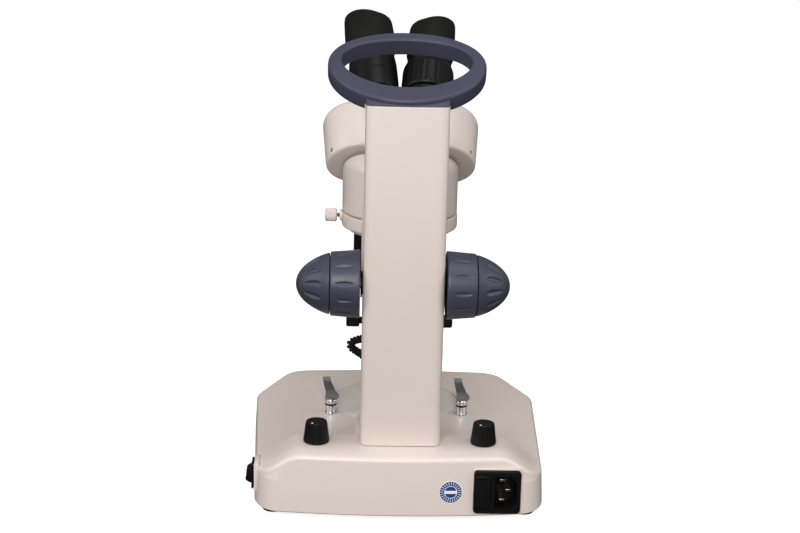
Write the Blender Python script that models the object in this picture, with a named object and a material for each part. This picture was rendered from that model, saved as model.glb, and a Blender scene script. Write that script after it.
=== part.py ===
"""Stereo microscope on a rack and pinion stand, in metres, +Z up.

The origin is on the bench under the middle of the microscope. The user sits on the -Y side, so +X is
the user's right. Solids that touch keep a gap of GAP between them.
"""

from math import cos, pi, radians, sin, sqrt

import bmesh
import bpy
from mathutils import Matrix, Vector

GAP = 0.0003
WALL = 0.003

# Base
FOOT_HEIGHT = 0.0035
FOOT_RADIUS = 0.0085
PLATE_TOP = 0.0048
SHELL_BOTTOM = PLATE_TOP + GAP
DECK_TOP = 0.0310
DECK_UNDERSIDE = 0.0255
RAISED_TOP = 0.0470
RAISED_FRONT = 0.0820
RAISED_FLAT_HALF = 0.0620
RAISED_END_HALF = 0.0885
RAISED_END_DROP = 0.0162
RAISED_WALL_INSET = 0.0016
REAR_Y = 0.1240
REAR_BOW_RADIUS = 0.620
REAR_HALF = 0.0987
REAR_CORNER = (0.018, 0.027)
SIDE_CORNER = (0.1086, -0.0455)
FRONT_CORNER = (0.0835, -0.1040)
FRONT_REACH, SIDE_REACH = 0.014, 0.005
FRONT_BOW = 0.0058
DECK_EDGE = ((0.990, 0.0270), (0.986, 0.0294), (0.975, DECK_TOP))
OUTLINE_MIDDLE = (0.0, 0.010)

# Pillar and handle
PILLAR_REAR = 0.1040
PILLAR_DEPTH = 0.0500
PILLAR_HALF = 0.0270
PILLAR_TOP = 0.2770
PILLAR_MIDDLE = PILLAR_REAR - PILLAR_DEPTH / 2
PILLAR_FRONT = PILLAR_REAR - PILLAR_DEPTH
PILLAR_CORNER = 0.006
SLOT_HALF = 0.012
SLOT_LOW, SLOT_HIGH = 0.0900, 0.2580
HANDLE_TILT = radians(27)
HANDLE_OUTER = (0.0522, 0.0404)
HANDLE_HOLE = (0.0428, 0.0268)
HANDLE_HOLE_SHIFT = 0.0035
HANDLE_EGG = 0.0036
HANDLE_THICKNESS = 0.0125
HANDLE_NEAR_TOP = 0.2805
HANDLE_CAP = 0.0040

# Focus drive
DRIVE_Y = 0.0840
DRIVE_Z = 0.1547
KNOB_INNER = 0.0287
KNOB_SEAM = 0.0489
KNOB_TIP = 0.0715
KNOB_RADIUS, KNOB_SEAM_RADIUS, NOSE_RADIUS = 0.0230, 0.0214, 0.0206
SHAFT_RADIUS = 0.0030
PINION_RADIUS = 0.0062
PINION_TEETH = 16
BUSH_RADIUS = 0.0090
RACK_REAR = DRIVE_Y - PINION_RADIUS - GAP
RACK_LOW, RACK_HIGH = 0.1240, 0.1960
RACK_PITCH = 0.0025

# Optical axis, holder ring and head
AXIS_Y = -0.0330
RING_OUTER = 0.0427
RING_INNER = 0.0382
RING_LOW, RING_HIGH = 0.1680, 0.1785
ARM_HALF = 0.0280
ARM_LOW = 0.1500
HEAD_RADIUS = 0.0423
HEAD_LOW = RING_HIGH + GAP
HEAD_TOP = 0.2242
SPIGOT_RADIUS = RING_INNER - GAP
SPIGOT_LOW = 0.1655
LOCK_Z = 0.1752
LIGHT_PATH_X = 0.0240

# Objective turret
TURRET_RADIUS = 0.0335
TURRET_TOP = SPIGOT_LOW - 0.0005
TURRET_LOW = 0.1260
OBJECTIVE_OFFSET = 0.0145
OBJECTIVE_RADIUS = {"low_power": 0.0072, "high_power": 0.0058}

# Prism housings and eyepieces. Each housing turns about its own axis, which leans 45 degrees towards
# the user and a few degrees outwards. STATION distances run along that axis from the housing's foot.
HOUSING_FOOT = Vector((0.0294, -0.0286, 0.2121))
HOUSING_SPLAY = radians(5)
HOUSING_RADIUS = 0.0260
HOUSING_LENGTH = 0.0444
HOUSING_ROUND = 0.0090
NECK_RADIUS = 0.0168
NECK_START, NECK_END = 0.0355, 0.0500
EYEPIECE_SHIFT = Vector((-0.0157, 0.0060, 0.0034))
EYECUP_STATION = 0.0905
EYECUP_END = 0.1195
EYEPIECE_LIFT = {"left": 0.0, "right": 0.0045}
DIOPTER_TRAVEL = 0.0025

# Lamp under the holder arm
LAMP_PIVOT = Vector((0.0, 0.0190, 0.1100))
LAMP_TILT = radians(33)
LAMP_RADIUS = 0.0170
LAMP_EAR = 0.0245

# Controls
DIAL_X, DIAL_Y = 0.0566, 0.0955
DIAL_LOW_RADIUS, DIAL_TOP_RADIUS, DIAL_HEIGHT = 0.0088, 0.0073, 0.0155
SWITCH_Y, SWITCH_Z, SWITCH_X = 0.0930, 0.0227, 0.0985
SWITCH_HALF = (0.0075, 0.0089)
INLET_X, INLET_Z = -0.0648, 0.0227
INLET_HALF = (0.0157, 0.0152)
INLET_FACE = 0.1232
INLET_SEAT = 0.1205
DRAWER_HALF = 0.0053
DRAWER_X = INLET_X + 0.0098
SOCKET_X = INLET_X - 0.0056
CLIP_X, CLIP_Y = 0.0485, -0.0040
CLIP_REST = {"left": radians(2), "right": radians(7)}
CLIP_LEAF_THICKNESS = 0.0007
# Along the leaf: y, height of its underside, and its two sides.
CLIP_LEAF = [
    (0.0034, 0.0104, -0.0040, 0.0030),
    (-0.0010, 0.0112, -0.0062, 0.0044),
    (-0.0060, 0.0118, -0.0062, 0.0034),
    (-0.0120, 0.0116, -0.0040, 0.0026),
    (-0.0350, 0.0066, -0.0028, 0.0026),
    (-0.0410, 0.0046, -0.0027, 0.0025),
    (-0.0460, 0.0062, -0.0026, 0.0024),
]
STAGE_RADIUS = 0.0475

# A curly cord from the lamp bracket to the pillar. Its solid is the outer shape of its coils.
CABLE_RADIUS = 0.0035
CABLE_ROUTE = [
    (0.0180, 0.0450, 0.1432),
    (0.0180, 0.0450, 0.1360),
    (0.0178, 0.0450, 0.1250),
    (0.0190, 0.0446, 0.1140),
    (0.0235, 0.0436, 0.1062),
    (0.0295, 0.0424, 0.1040),
    (0.0335, 0.0416, 0.1015),
    (0.0326, 0.0412, 0.0968),
    (0.0285, 0.0410, 0.0925),
    (0.0225, 0.0410, 0.0882),
    (0.0160, 0.0411, 0.0838),
    (0.0100, 0.0423, 0.0792),
    (0.0066, 0.0458, 0.0764),
    (0.0060, 0.0501, 0.0758),
]

COLOURS = {
    "cream": ((0.66, 0.58, 0.52), 0.28, 0.0),
    "black_plastic": ((0.012, 0.011, 0.012), 0.42, 0.0),
    "rubber": ((0.010, 0.009, 0.009), 0.70, 0.0),
    "blue_grey": ((0.065, 0.062, 0.105), 0.38, 0.0),
    "steel": ((0.62, 0.62, 0.62), 0.22, 1.0),
    "brass": ((0.70, 0.52, 0.22), 0.30, 1.0),
    "glass": ((0.80, 0.86, 0.86), 0.05, 0.0),
    "circuit": ((0.02, 0.16, 0.07), 0.50, 0.0),
}


def clear_scene():
    for thing in list(bpy.data.objects):
        bpy.data.objects.remove(thing, do_unlink=True)


def make_materials():
    for name, (colour, roughness, metallic) in COLOURS.items():
        material = bpy.data.materials.new(name)
        material.use_nodes = True
        shader = material.node_tree.nodes["Principled BSDF"]
        shader.inputs["Base Color"].default_value = (*colour, 1.0)
        shader.inputs["Roughness"].default_value = roughness
        shader.inputs["Metallic"].default_value = metallic


def add_object(name, shape, finish, place=None):
    """Links a new object made from a bmesh. A finish of None makes a hidden cutter or filler."""
    bmesh.ops.remove_doubles(shape, verts=shape.verts, dist=1e-7)
    bmesh.ops.recalc_face_normals(shape, faces=shape.faces)
    mesh = bpy.data.meshes.new(name)
    shape.to_mesh(mesh)
    shape.free()
    mesh.shade_smooth()
    mesh.set_sharp_from_angle(angle=radians(35))
    thing = bpy.data.objects.new(name, mesh)
    bpy.context.scene.collection.objects.link(thing)
    thing.matrix_world = place or Matrix()
    if finish is None:
        thing.hide_render = True
        thing.display_type = "WIRE"
    else:
        mesh.materials.append(bpy.data.materials[finish])
    return thing


def upright(x, y, z):
    return Matrix.Translation((x, y, z))


def along(origin, axis, across=(1.0, 0.0, 0.0)):
    """A placement whose local Z runs along axis, with local X as near to across as it can be."""
    z = Vector(axis).normalized()
    y = z.cross(Vector(across)).normalized()
    x = y.cross(z)
    return Matrix.Translation(origin) @ Matrix((x, y, z)).transposed().to_4x4()


def turned(name, profile, finish, place=None, steps=32, hollow=False):
    """Turns (radius, height) points about local Z. A hollow profile is a closed loop clear of the axis."""
    shape = bmesh.new()
    points = [shape.verts.new((radius, 0.0, height)) for radius, height in profile]
    edges = [shape.edges.new(pair) for pair in zip(points, points[1:])]
    if hollow:
        edges.append(shape.edges.new((points[-1], points[0])))
    bmesh.ops.spin(shape, geom=points + edges, cent=(0, 0, 0), axis=(0, 0, 1), angle=2 * pi, steps=steps)
    bmesh.ops.remove_doubles(shape, verts=shape.verts, dist=1e-6)
    return add_object(name, shape, finish, place)


def rod(name, radius, low, high, finish, place=None, steps=24):
    return turned(name, [(0, low), (radius, low), (radius, high), (0, high)], finish, place, steps)


def stacked(name, loops, finish, place=None):
    """Skins loops of equally many points, given from one end to the other, and caps both ends."""
    shape = bmesh.new()
    rings = [[shape.verts.new(point) for point in loop] for loop in loops]
    for below, above in zip(rings, rings[1:]):
        for i, corner in enumerate(below):
            j = (i + 1) % len(below)
            shape.faces.new((corner, below[j], above[j], above[i]))
    shape.faces.new(reversed(rings[0]))
    shape.faces.new(rings[-1])
    return add_object(name, shape, finish, place)


def extruded(name, outline, low, high, finish, place=None):
    return stacked(name, [[(x, y, z) for x, y in outline] for z in (low, high)], finish, place)


def block(name, low, high, finish, bevel=0.0):
    """A box between two corners in world space, with its edges rounded off by bevel."""
    middle = (Vector(low) + Vector(high)) / 2
    half = (Vector(high) - Vector(low)) / 2
    corners = [(-half.x, -half.y), (half.x, -half.y), (half.x, half.y), (-half.x, half.y)]
    thing = extruded(name, corners, -half.z, half.z, finish, upright(*middle))
    if bevel:
        rounded(thing, bevel, 2)
    return thing


def rounded(thing, width, segments, angle=35):
    edge = thing.modifiers.new("Rounded edges", "BEVEL")
    edge.width = width
    edge.segments = segments
    edge.limit_method = "ANGLE"
    edge.angle_limit = radians(angle)


def combine(thing, operation, helpers):
    for helper in helpers:
        step = thing.modifiers.new(helper.name, "BOOLEAN")
        step.operation = operation
        step.object = helper


def cut(thing, *cutters):
    combine(thing, "DIFFERENCE", cutters)


def fuse(thing, *fillers):
    combine(thing, "UNION", fillers)


def move_origin(thing, point):
    """Puts the object's origin on its joint's axis without moving its shape."""
    shift = thing.matrix_world.inverted() @ Vector(point)
    thing.data.transform(Matrix.Translation(-shift))
    thing.matrix_world = thing.matrix_world @ Matrix.Translation(shift)


def arc(middle, radii, start, end, steps):
    """Points on a quarter or longer stretch of an ellipse, angles in degrees."""
    angles = [radians(start + (end - start) * i / steps) for i in range(steps + 1)]
    return [(middle[0] + radii[0] * cos(a), middle[1] + radii[1] * sin(a)) for a in angles]


def rounded_box(half_x, half_y, radius, steps=3, middle=(0.0, 0.0)):
    points = []
    for start, sx, sy in ((0, 1, 1), (90, -1, 1), (180, -1, -1), (270, 1, -1)):
        centre = (middle[0] + sx * (half_x - radius), middle[1] + sy * (half_y - radius))
        points += arc(centre, (radius, radius), start, start + 90, steps)
    return points


def rear_wall(x):
    return REAR_Y - x * x / (2 * REAR_BOW_RADIUS)


def softened(before, corner, after, reach, steps=3):
    """A corner replaced by a quadratic curve that starts and ends at reach from it."""
    start = corner + (before - corner).normalized() * reach
    end = corner + (after - corner).normalized() * reach
    points = []
    for i in range(steps + 1):
        t = i / steps
        points.append((1 - t) ** 2 * start + 2 * t * (1 - t) * corner + t * t * end)
    return [tuple(point) for point in points]


def base_outline():
    """The footprint, anticlockwise from the front left corner."""
    half = REAR_HALF - REAR_CORNER[0]
    corner_y = rear_wall(half) - REAR_CORNER[1]
    rear_right = Vector((REAR_HALF, corner_y))
    side = Vector(SIDE_CORNER)
    front = Vector(FRONT_CORNER)
    front_middle = Vector((0.0, FRONT_CORNER[1] - FRONT_BOW))
    right = softened(front_middle, front, side, FRONT_REACH) + softened(front, side, rear_right, SIDE_REACH)
    right += arc((half, corner_y), REAR_CORNER, 0, 90, 5)
    rear = [(x, rear_wall(x)) for x in (half / 2, 0.0, -half / 2)]
    return right + rear + [(-x, y) for x, y in reversed(right)] + [tuple(front_middle)]


def inset_loop(outline, scale, z):
    middle = OUTLINE_MIDDLE
    return [(middle[0] + (x - middle[0]) * scale, middle[1] + (y - middle[1]) * scale, z) for x, y in outline]


def raised_top(x):
    """Height of the rear section: flat in the middle, curving down towards both ends."""
    run = max((abs(x) - RAISED_FLAT_HALF) / (RAISED_END_HALF - RAISED_FLAT_HALF), 0.0)
    return RAISED_TOP - RAISED_END_DROP * run * run


def raised_section():
    """The rear section over the deck, from cross-sections along X."""
    half = REAR_HALF - REAR_CORNER[0]
    low, front = 0.0200, RAISED_FRONT
    stations = [-RAISED_END_HALF, -0.084, -0.077, -0.070, -RAISED_FLAT_HALF, 0.0]
    loops = []
    for x in stations + [-station for station in reversed(stations[:-1])]:
        corner = max(abs(x) - half, 0.0) / REAR_CORNER[0]
        rear = rear_wall(x) - REAR_CORNER[1] * (1 - sqrt(1 - corner**2)) - RAISED_WALL_INSET
        top = raised_top(x)
        wall = [(x, rear, low), (x, rear, top - 0.0042)]
        wall += [(x, rear - 0.0012, top - 0.0024), (x, rear - 0.0110, top)]
        loops.append(wall + [(x, front, top), (x, front, low)])
    return stacked("rear_rise", loops, None)


def make_base():
    outline = base_outline()
    shell = stacked(
        "base_shell",
        [inset_loop(outline, scale, z) for scale, z in ((1.0, SHELL_BOTTOM), *DECK_EDGE)],
        "cream",
    )
    socket = block("pillar_socket", (-0.030, 0.028, 0.026), (0.030, RAISED_FRONT + 0.002, 0.043), None, 0.004)
    seat = block(
        "inlet_seat",
        (INLET_X - INLET_HALF[0] - 0.0004, 0.108, 0.0080),
        (INLET_X + INLET_HALF[0] + 0.0004, INLET_SEAT + 0.0010, INLET_Z + INLET_HALF[1] + 0.0004),
        None,
    )
    pad = block(
        "switch_pad",
        (SWITCH_X - 0.0035, SWITCH_Y - 0.0088, SWITCH_Z - 0.0100),
        (SWITCH_X, SWITCH_Y + 0.0088, SWITCH_Z + 0.0098),
        None,
        0.0008,
    )
    fuse(shell, raised_section(), socket, seat, pad)
    levels = ((0.955, 0.0), (0.945, 0.024), (0.880, DECK_UNDERSIDE))
    cavity = stacked("base_cavity", [inset_loop(outline, scale, z) for scale, z in levels], None)
    rear_cavity = block(
        "rear_cavity", (-0.065, RAISED_FRONT + 0.004, 0.020), (0.065, 0.1150, RAISED_TOP - WALL), None
    )
    inlet_hole = block(
        "inlet_hole",
        (INLET_X - 0.0145, 0.090, INLET_Z - 0.0140),
        (INLET_X + 0.0155, 0.130, INLET_Z + 0.0140),
        None,
    )
    inlet_recess = block(
        "inlet_recess",
        (INLET_X - INLET_HALF[0] - GAP, INLET_SEAT, INLET_Z - INLET_HALF[1] - GAP),
        (INLET_X + INLET_HALF[0] + GAP, 0.135, INLET_Z + INLET_HALF[1] + GAP),
        None,
    )
    switch_hole = block(
        "switch_hole",
        (SWITCH_X - 0.024, SWITCH_Y - 0.0063, SWITCH_Z - 0.0075),
        (SWITCH_X + 0.010, SWITCH_Y + 0.0063, SWITCH_Z + 0.0075),
        None,
    )
    stage_hole = rod("stage_hole", STAGE_RADIUS - 0.002, 0.0, 0.060, None, upright(0, AXIS_Y, 0), 40)
    stage_seat = rod("stage_seat", STAGE_RADIUS + GAP, 0.0278, 0.060, None, upright(0, AXIS_Y, 0), 40)
    cutters = [cavity, rear_cavity, inlet_hole, inlet_recess, switch_hole, stage_hole, stage_seat]
    for side in (-1, 1):
        dial, clip = upright(side * DIAL_X, DIAL_Y, 0), upright(side * CLIP_X, CLIP_Y, 0)
        cutters.append(rod(f"dial_hole_{side}", 0.0038, 0.030, 0.060, None, dial, 16))
        cutters.append(rod(f"clip_hole_{side}", 0.0033, 0.020, 0.050, None, clip, 16))
    cut(shell, *cutters)
    stacked(
        "base_plate",
        [inset_loop(outline, 0.965, FOOT_HEIGHT + GAP), inset_loop(outline, 0.965, PLATE_TOP)],
        "black_plastic",
    )
    profile = [(0, 0), (FOOT_RADIUS - 0.001, 0), (FOOT_RADIUS, 0.001), (FOOT_RADIUS, FOOT_HEIGHT)]
    profile.append((0, FOOT_HEIGHT))
    for end, x, y in (("rear", 0.0840, 0.0990), ("front", 0.0700, -0.0850)):
        turned(f"{end}_left_foot", profile, "rubber", upright(-x, y, 0), 16)
        turned(f"{end}_right_foot", profile, "rubber", upright(x, y, 0), 16)


def make_stage():
    rod("stage_glass", STAGE_RADIUS, 0.0281, DECK_TOP, "glass", upright(0, AXIS_Y, 0), 40)
    board = rod("led_module", 0.0250, 0.0075, 0.0120, "circuit", upright(0, AXIS_Y, 0), 24)
    fuse(board, rod("led_lens", 0.0080, 0.0110, 0.0180, None, upright(0, AXIS_Y, 0), 16))
    circuit = block("circuit_board", (-0.035, 0.030, 0.0075), (0.035, 0.075, 0.0091), "circuit")
    fuse(
        circuit,
        block("transformer", (-0.025, 0.040, 0.0085), (-0.005, 0.062, 0.0220), None),
        block("capacitor", (0.008, 0.044, 0.0085), (0.020, 0.056, 0.0200), None),
    )


def make_pillar():
    outline = rounded_box(PILLAR_HALF, PILLAR_DEPTH / 2, PILLAR_CORNER)
    low, high = RAISED_TOP + GAP, PILLAR_TOP - GAP
    pillar = extruded("pillar", outline, low, high, "cream", upright(0, PILLAR_MIDDLE, 0))
    half_x, half_y = PILLAR_HALF - WALL, PILLAR_DEPTH / 2 - WALL
    hollow = extruded(
        "pillar_hollow", rounded_box(half_x, half_y, 0.003, 1), 0.0, 0.273, None, upright(0, PILLAR_MIDDLE, 0)
    )
    slot = block("pillar_slot", (-SLOT_HALF, 0.040, SLOT_LOW), (SLOT_HALF, 0.070, SLOT_HIGH), None)
    across = along((0, DRIVE_Y, DRIVE_Z), (1, 0, 0), (0, 1, 0))
    cut(pillar, hollow, slot, rod("bush_holes", 0.0073, -0.05, 0.05, None, across, 20))
    gland = along((CABLE_ROUTE[-1][0], PILLAR_FRONT, CABLE_ROUTE[-1][2]), (0, 1, 0))
    fuse(pillar, rod("cable_gland", CABLE_RADIUS + 0.0002, -0.0030, 0.0020, None, gland, 12))
    guide_front = PILLAR_FRONT + WALL + GAP
    guide = block("focus_guide", (-0.0165, guide_front, 0.082), (0.0165, 0.0690, 0.266), "steel")
    cut(guide, block("guide_window", (-0.0096, 0.050, 0.092), (0.0096, 0.080, 0.256), None))


def egg_drop(x, half_width):
    """How far the ring's sides lie ahead of a plain oval, which makes it an egg shape."""
    return HANDLE_EGG * (x / half_width) ** 2


def make_handle():
    """An egg-shaped ring that rises forward from the top of the pillar, on a cap that closes the pillar."""
    tilt = Matrix.Rotation(-HANDLE_TILT, 4, "X")
    near_top = Vector((0, PILLAR_REAR, HANDLE_NEAR_TOP))
    centre = near_top + tilt @ Vector((0, -HANDLE_OUTER[1], -HANDLE_THICKNESS / 2))
    place = Matrix.Translation(centre) @ tilt
    oval = [(x, y - egg_drop(x, HANDLE_OUTER[0])) for x, y in arc((0, 0), HANDLE_OUTER, 0, 351, 39)]
    half = HANDLE_THICKNESS / 2
    edge = 0.0022
    scale = 1 - edge / HANDLE_OUTER[1]
    loops = [
        [(x * scale, y * scale, -half) for x, y in oval],
        [(x, y, -half + edge) for x, y in oval],
        [(x, y, half - edge) for x, y in oval],
        [(x * scale, y * scale, half) for x, y in oval],
    ]
    handle = stacked("carry_handle", loops, "blue_grey", place)
    outline = rounded_box(PILLAR_HALF, PILLAR_DEPTH / 2, PILLAR_CORNER)
    cap = extruded(
        "handle_cap",
        [(PILLAR_HALF, 0.010), (-PILLAR_HALF, 0.010)] + outline[8:],
        PILLAR_TOP,
        PILLAR_TOP + HANDLE_CAP,
        None,
        upright(0, PILLAR_MIDDLE, 0),
    )
    # The wall under the ring's rear edge runs down to the pillar's outline.
    rear = [(PILLAR_HALF, 0.004)] + outline[:8] + [(-PILLAR_HALF, 0.004)]
    crease = []
    for x, y in rear:
        reach = HANDLE_OUTER[1] * sqrt(1 - (x / HANDLE_OUTER[0]) ** 2) - 0.0004
        reach -= egg_drop(x, HANDLE_OUTER[0])
        if y < 0.005:
            crease.append(place @ Vector((x, reach - 0.009, half - 0.003)))
        else:
            crease.append(place @ Vector((x, reach, half - edge - 0.0004)))
    foot = [(x, y + PILLAR_MIDDLE, PILLAR_TOP - 0.002) for x, y in rear]
    skirt = stacked("handle_skirt", [foot, [tuple(point) for point in crease]], None)
    hole_outline = []
    for x, y in arc((0, 0), HANDLE_HOLE, 0, 351, 39):
        hole_outline.append((x, y - HANDLE_HOLE_SHIFT - egg_drop(x, HANDLE_HOLE[0])))
    hole = extruded("handle_hole", hole_outline, -half - 0.001, half + 0.001, None, place)
    space_half = PILLAR_HALF + 0.0006
    pillar_space = block(
        "pillar_space",
        (-space_half, PILLAR_FRONT - 0.001, 0.200),
        (space_half, PILLAR_REAR + 0.002, PILLAR_TOP),
        None,
    )
    cut(handle, hole)
    fuse(handle, cap, skirt)
    cut(handle, pillar_space)


def knob_profile():
    """The nose of a focus knob, from its flat inner face to its rounded tip."""
    length = KNOB_TIP - KNOB_SEAM
    shares = (0.0, 0.15, 0.30, 0.45, 0.60, 0.73, 0.84, 0.93, 0.985)
    curve = [(NOSE_RADIUS * (1 - t**1.3) ** 0.48, length * t) for t in shares]
    return [(0, 0)] + curve + [(0, length)]


def make_focus_drive():
    for side, name in ((-1, "left"), (1, "right")):
        place = along((0, DRIVE_Y, DRIVE_Z), (side, 0, 0), (0, 1, 0))
        bush = [
            (0.0034, PILLAR_HALF - WALL - 0.001),
            (0.0069, PILLAR_HALF - WALL - 0.001),
            (0.0069, PILLAR_HALF + GAP),
            (BUSH_RADIUS, PILLAR_HALF + GAP),
            (BUSH_RADIUS, KNOB_INNER - GAP),
            (0.0034, KNOB_INNER - GAP),
        ]
        turned(f"{name}_pinion_bush", bush, "black_plastic", place, 20, hollow=True)
        ring = [
            (0.0034, KNOB_INNER),
            (KNOB_RADIUS - 0.0006, KNOB_INNER),
            (KNOB_RADIUS, KNOB_INNER + 0.0008),
            (KNOB_SEAM_RADIUS, KNOB_SEAM - GAP),
            (0.0034, KNOB_SEAM - GAP),
        ]
        turned(f"{name}_knob_ring", ring, "blue_grey", place, 24, hollow=True)
        seam = along((side * KNOB_SEAM, DRIVE_Y, DRIVE_Z), (side, 0, 0), (0, 1, 0))
        nose = turned(f"{name}_knob_nose", knob_profile(), "blue_grey", seam, 24)
        cut(nose, rod(f"{name}_nose_bore", 0.0034, -0.002, 0.0163, None, seam, 12))
    across = along((0, DRIVE_Y, DRIVE_Z), (1, 0, 0), (0, 1, 0))
    shaft = rod("pinion_shaft", SHAFT_RADIUS, -0.0648, 0.0648, "steel", across, 12)
    teeth = []
    for tooth in range(PINION_TEETH):
        for share, radius in ((-0.28, 0.0052), (-0.14, PINION_RADIUS), (0.14, PINION_RADIUS), (0.28, 0.0052)):
            angle = 2 * pi * (tooth + share) / PINION_TEETH
            teeth.append((radius * cos(angle), radius * sin(angle)))
    fuse(shaft, extruded("pinion_teeth", teeth, -0.005, 0.005, None, across))


def rack_outline():
    """The rack in side view, as (y, z), with its teeth towards the pinion."""
    front = 0.0705
    points = [(front, RACK_LOW), (front, RACK_HIGH)]
    count = int((RACK_HIGH - RACK_LOW) / RACK_PITCH)
    for tooth in range(count):
        top = RACK_HIGH - tooth * RACK_PITCH
        for share, depth in ((0.0, 0.0013), (0.25, 0.0), (0.55, 0.0), (0.80, 0.0013)):
            points.append((RACK_REAR - depth, top - share * RACK_PITCH))
    points.append((RACK_REAR - 0.0013, RACK_LOW))
    return list(reversed(points))


def make_carriage():
    side_view = along((0, 0, 0), (1, 0, 0), (0, 1, 0))
    extruded("focus_rack", rack_outline(), -0.0045, 0.0045, "brass", side_view)
    rear = PILLAR_FRONT - 0.0008
    arm = extruded(
        "holder_arm",
        [
            (rear, ARM_LOW - 0.002),
            (rear, 0.2000),
            (rear - 0.010, 0.2000),
            (rear - 0.022, RING_HIGH - 0.0015),
            (AXIS_Y + 0.030, RING_HIGH - 0.0015),
            (AXIS_Y + 0.030, RING_LOW + 0.0015),
            (0.016, RING_LOW - 0.001),
            (0.028, ARM_LOW + 0.002),
            (0.034, ARM_LOW - 0.002),
        ],
        -ARM_HALF,
        ARM_HALF,
        "cream",
        side_view,
    )
    rounded(arm, 0.003, 2, 50)
    axis = upright(0, AXIS_Y, 0)
    tongue = block("carriage_tongue", (-0.0090, 0.0400, RACK_LOW), (0.0090, 0.0702, RACK_HIGH), None)
    sideways = along((0, AXIS_Y, LOCK_Z), (1, 0, 0), (0, 1, 0))
    cut(arm, rod("ring_space", RING_INNER + 0.002, 0.140, 0.215, None, axis, 40))
    ring_loop = [
        (RING_INNER, RING_LOW),
        (RING_OUTER - 0.0030, RING_LOW),
        (RING_OUTER - 0.0009, RING_LOW + 0.0009),
        (RING_OUTER, RING_LOW + 0.0030),
        (RING_OUTER, RING_HIGH),
        (RING_INNER, RING_HIGH),
    ]
    ring = turned("holder_ring", ring_loop, None, axis, 40, hollow=True)
    cut(ring, rod("lock_hole", 0.0019, 0.030, 0.050, None, sideways, 12))
    fuse(arm, ring, tongue)
    shaft = rod("lock_screw", 0.0015, RING_INNER + GAP, 0.0530, "steel", sideways, 12)
    move_origin(shaft, (RING_INNER, AXIS_Y, LOCK_Z))
    knob = [
        (0.0018, RING_OUTER + 0.0034),
        (0.0046, RING_OUTER + 0.0034),
        (0.0049, RING_OUTER + 0.0040),
        (0.0049, RING_OUTER + 0.0116),
        (0.0044, RING_OUTER + 0.0122),
        (0.0018, RING_OUTER + 0.0122),
    ]
    turned("lock_knob", knob, "cream", sideways, 20, hollow=True)


def make_lamp():
    """The upper lamp hangs from the underside of the holder arm, in front of the carriage tongue."""
    y, z = LAMP_PIVOT.y, LAMP_PIVOT.z
    top = ARM_LOW - 0.0024
    half = LAMP_EAR + 0.002
    bracket = block("lamp_bracket", (-half, 0.0350, top - 0.004), (half, 0.0520, top), "black_plastic")
    cut(bracket, block("tongue_space", (-0.0094, 0.0396, top - 0.010), (0.0094, 0.0600, top + 0.010), None))
    side_view = along((0, 0, 0), (1, 0, 0), (0, 1, 0))
    ear = [(y - 0.006, z - 0.004), (y, z - 0.007), (y + 0.006, z - 0.005), (0.050, top - 0.006)]
    ear += [(0.050, top - 0.001), (0.038, top - 0.001), (y - 0.007, z + 0.004)]
    for side in (-1, 1):
        inner, outer = sorted((side * LAMP_EAR, side * half))
        fuse(bracket, extruded(f"ear_{side}", ear, inner, outer, None, side_view))
    across = along(LAMP_PIVOT, (1, 0, 0), (0, 1, 0))
    cut(bracket, rod("pivot_holes", 0.0028, -0.05, 0.05, None, across, 16))
    cap = [(0.0, 0.0285), (0.0042, 0.0285), (0.0047, 0.0292)]
    cap += [(0.0047, 0.0370), (0.0040, 0.0380), (0.0, 0.0380)]
    pivot = rod("lamp_pivot", 0.0025, -0.030, 0.030, "black_plastic", across, 12)
    for side, label in ((-1, "left"), (1, "right")):
        outward = along(LAMP_PIVOT, (side, 0, 0), (0, 1, 0))
        fuse(pivot, turned(f"{label}_pivot_cap", cap, None, outward, 16))
    aim = (0, -sin(LAMP_TILT), -cos(LAMP_TILT))
    down = along(LAMP_PIVOT, aim)
    body = [
        (0.0, -0.014),
        (0.011, -0.014),
        (0.014, -0.011),
        (0.014, 0.006),
        (LAMP_RADIUS, 0.009),
        (LAMP_RADIUS, 0.024),
        (0.0145, 0.024),
        (0.0145, 0.010),
        (0.0, 0.010),
    ]
    housing = turned("lamp_housing", body, "black_plastic", down, 24)
    fuse(housing, rod("lamp_trunnions", 0.006, -LAMP_EAR + 0.0006, LAMP_EAR - 0.0006, None, across, 16))
    cut(housing, rod("lamp_bore", 0.0029, -0.04, 0.04, None, across, 12))
    lens = [(0.0, 0.0215), (0.0138, 0.0215), (0.0138, 0.0200), (0.009, 0.0180), (0.0, 0.0172)]
    turned("lamp_lens", list(reversed(lens)), "glass", down, 20)


def make_head():
    axis = upright(0, AXIS_Y, 0)
    round_top = arc((HEAD_RADIUS - 0.012, HEAD_TOP - 0.012), (0.012, 0.012), 0, 90, 4)
    profile = [(0, SPIGOT_LOW), (SPIGOT_RADIUS, SPIGOT_LOW), (SPIGOT_RADIUS, HEAD_LOW + 0.0006)]
    profile += arc((HEAD_RADIUS - 0.0025, HEAD_LOW + 0.0025), (0.0025, 0.0025), -90, 0, 3)
    profile += round_top + [(0, HEAD_TOP)]
    body = turned("head_body", profile, "cream", axis, 40)
    # The sloping face that the prism housings turn on.
    face = along((0, HOUSING_FOOT.y, HOUSING_FOOT.z), (0, -1, 1))
    slope = extruded("head_slope", rounded_box(0.08, 0.08, 0.01, 1), -GAP, 0.10, None, face)
    inside = rod("head_inside", 0.0330, 0.150, 0.186, None, axis, 32)
    cut(body, slope, inside)
    for side in (-1, 1):
        lift = upright(side * LIGHT_PATH_X, AXIS_Y, 0)
        cut(body, rod(f"light_path_{side}", 0.0085, 0.180, 0.240, None, lift, 16))


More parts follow.
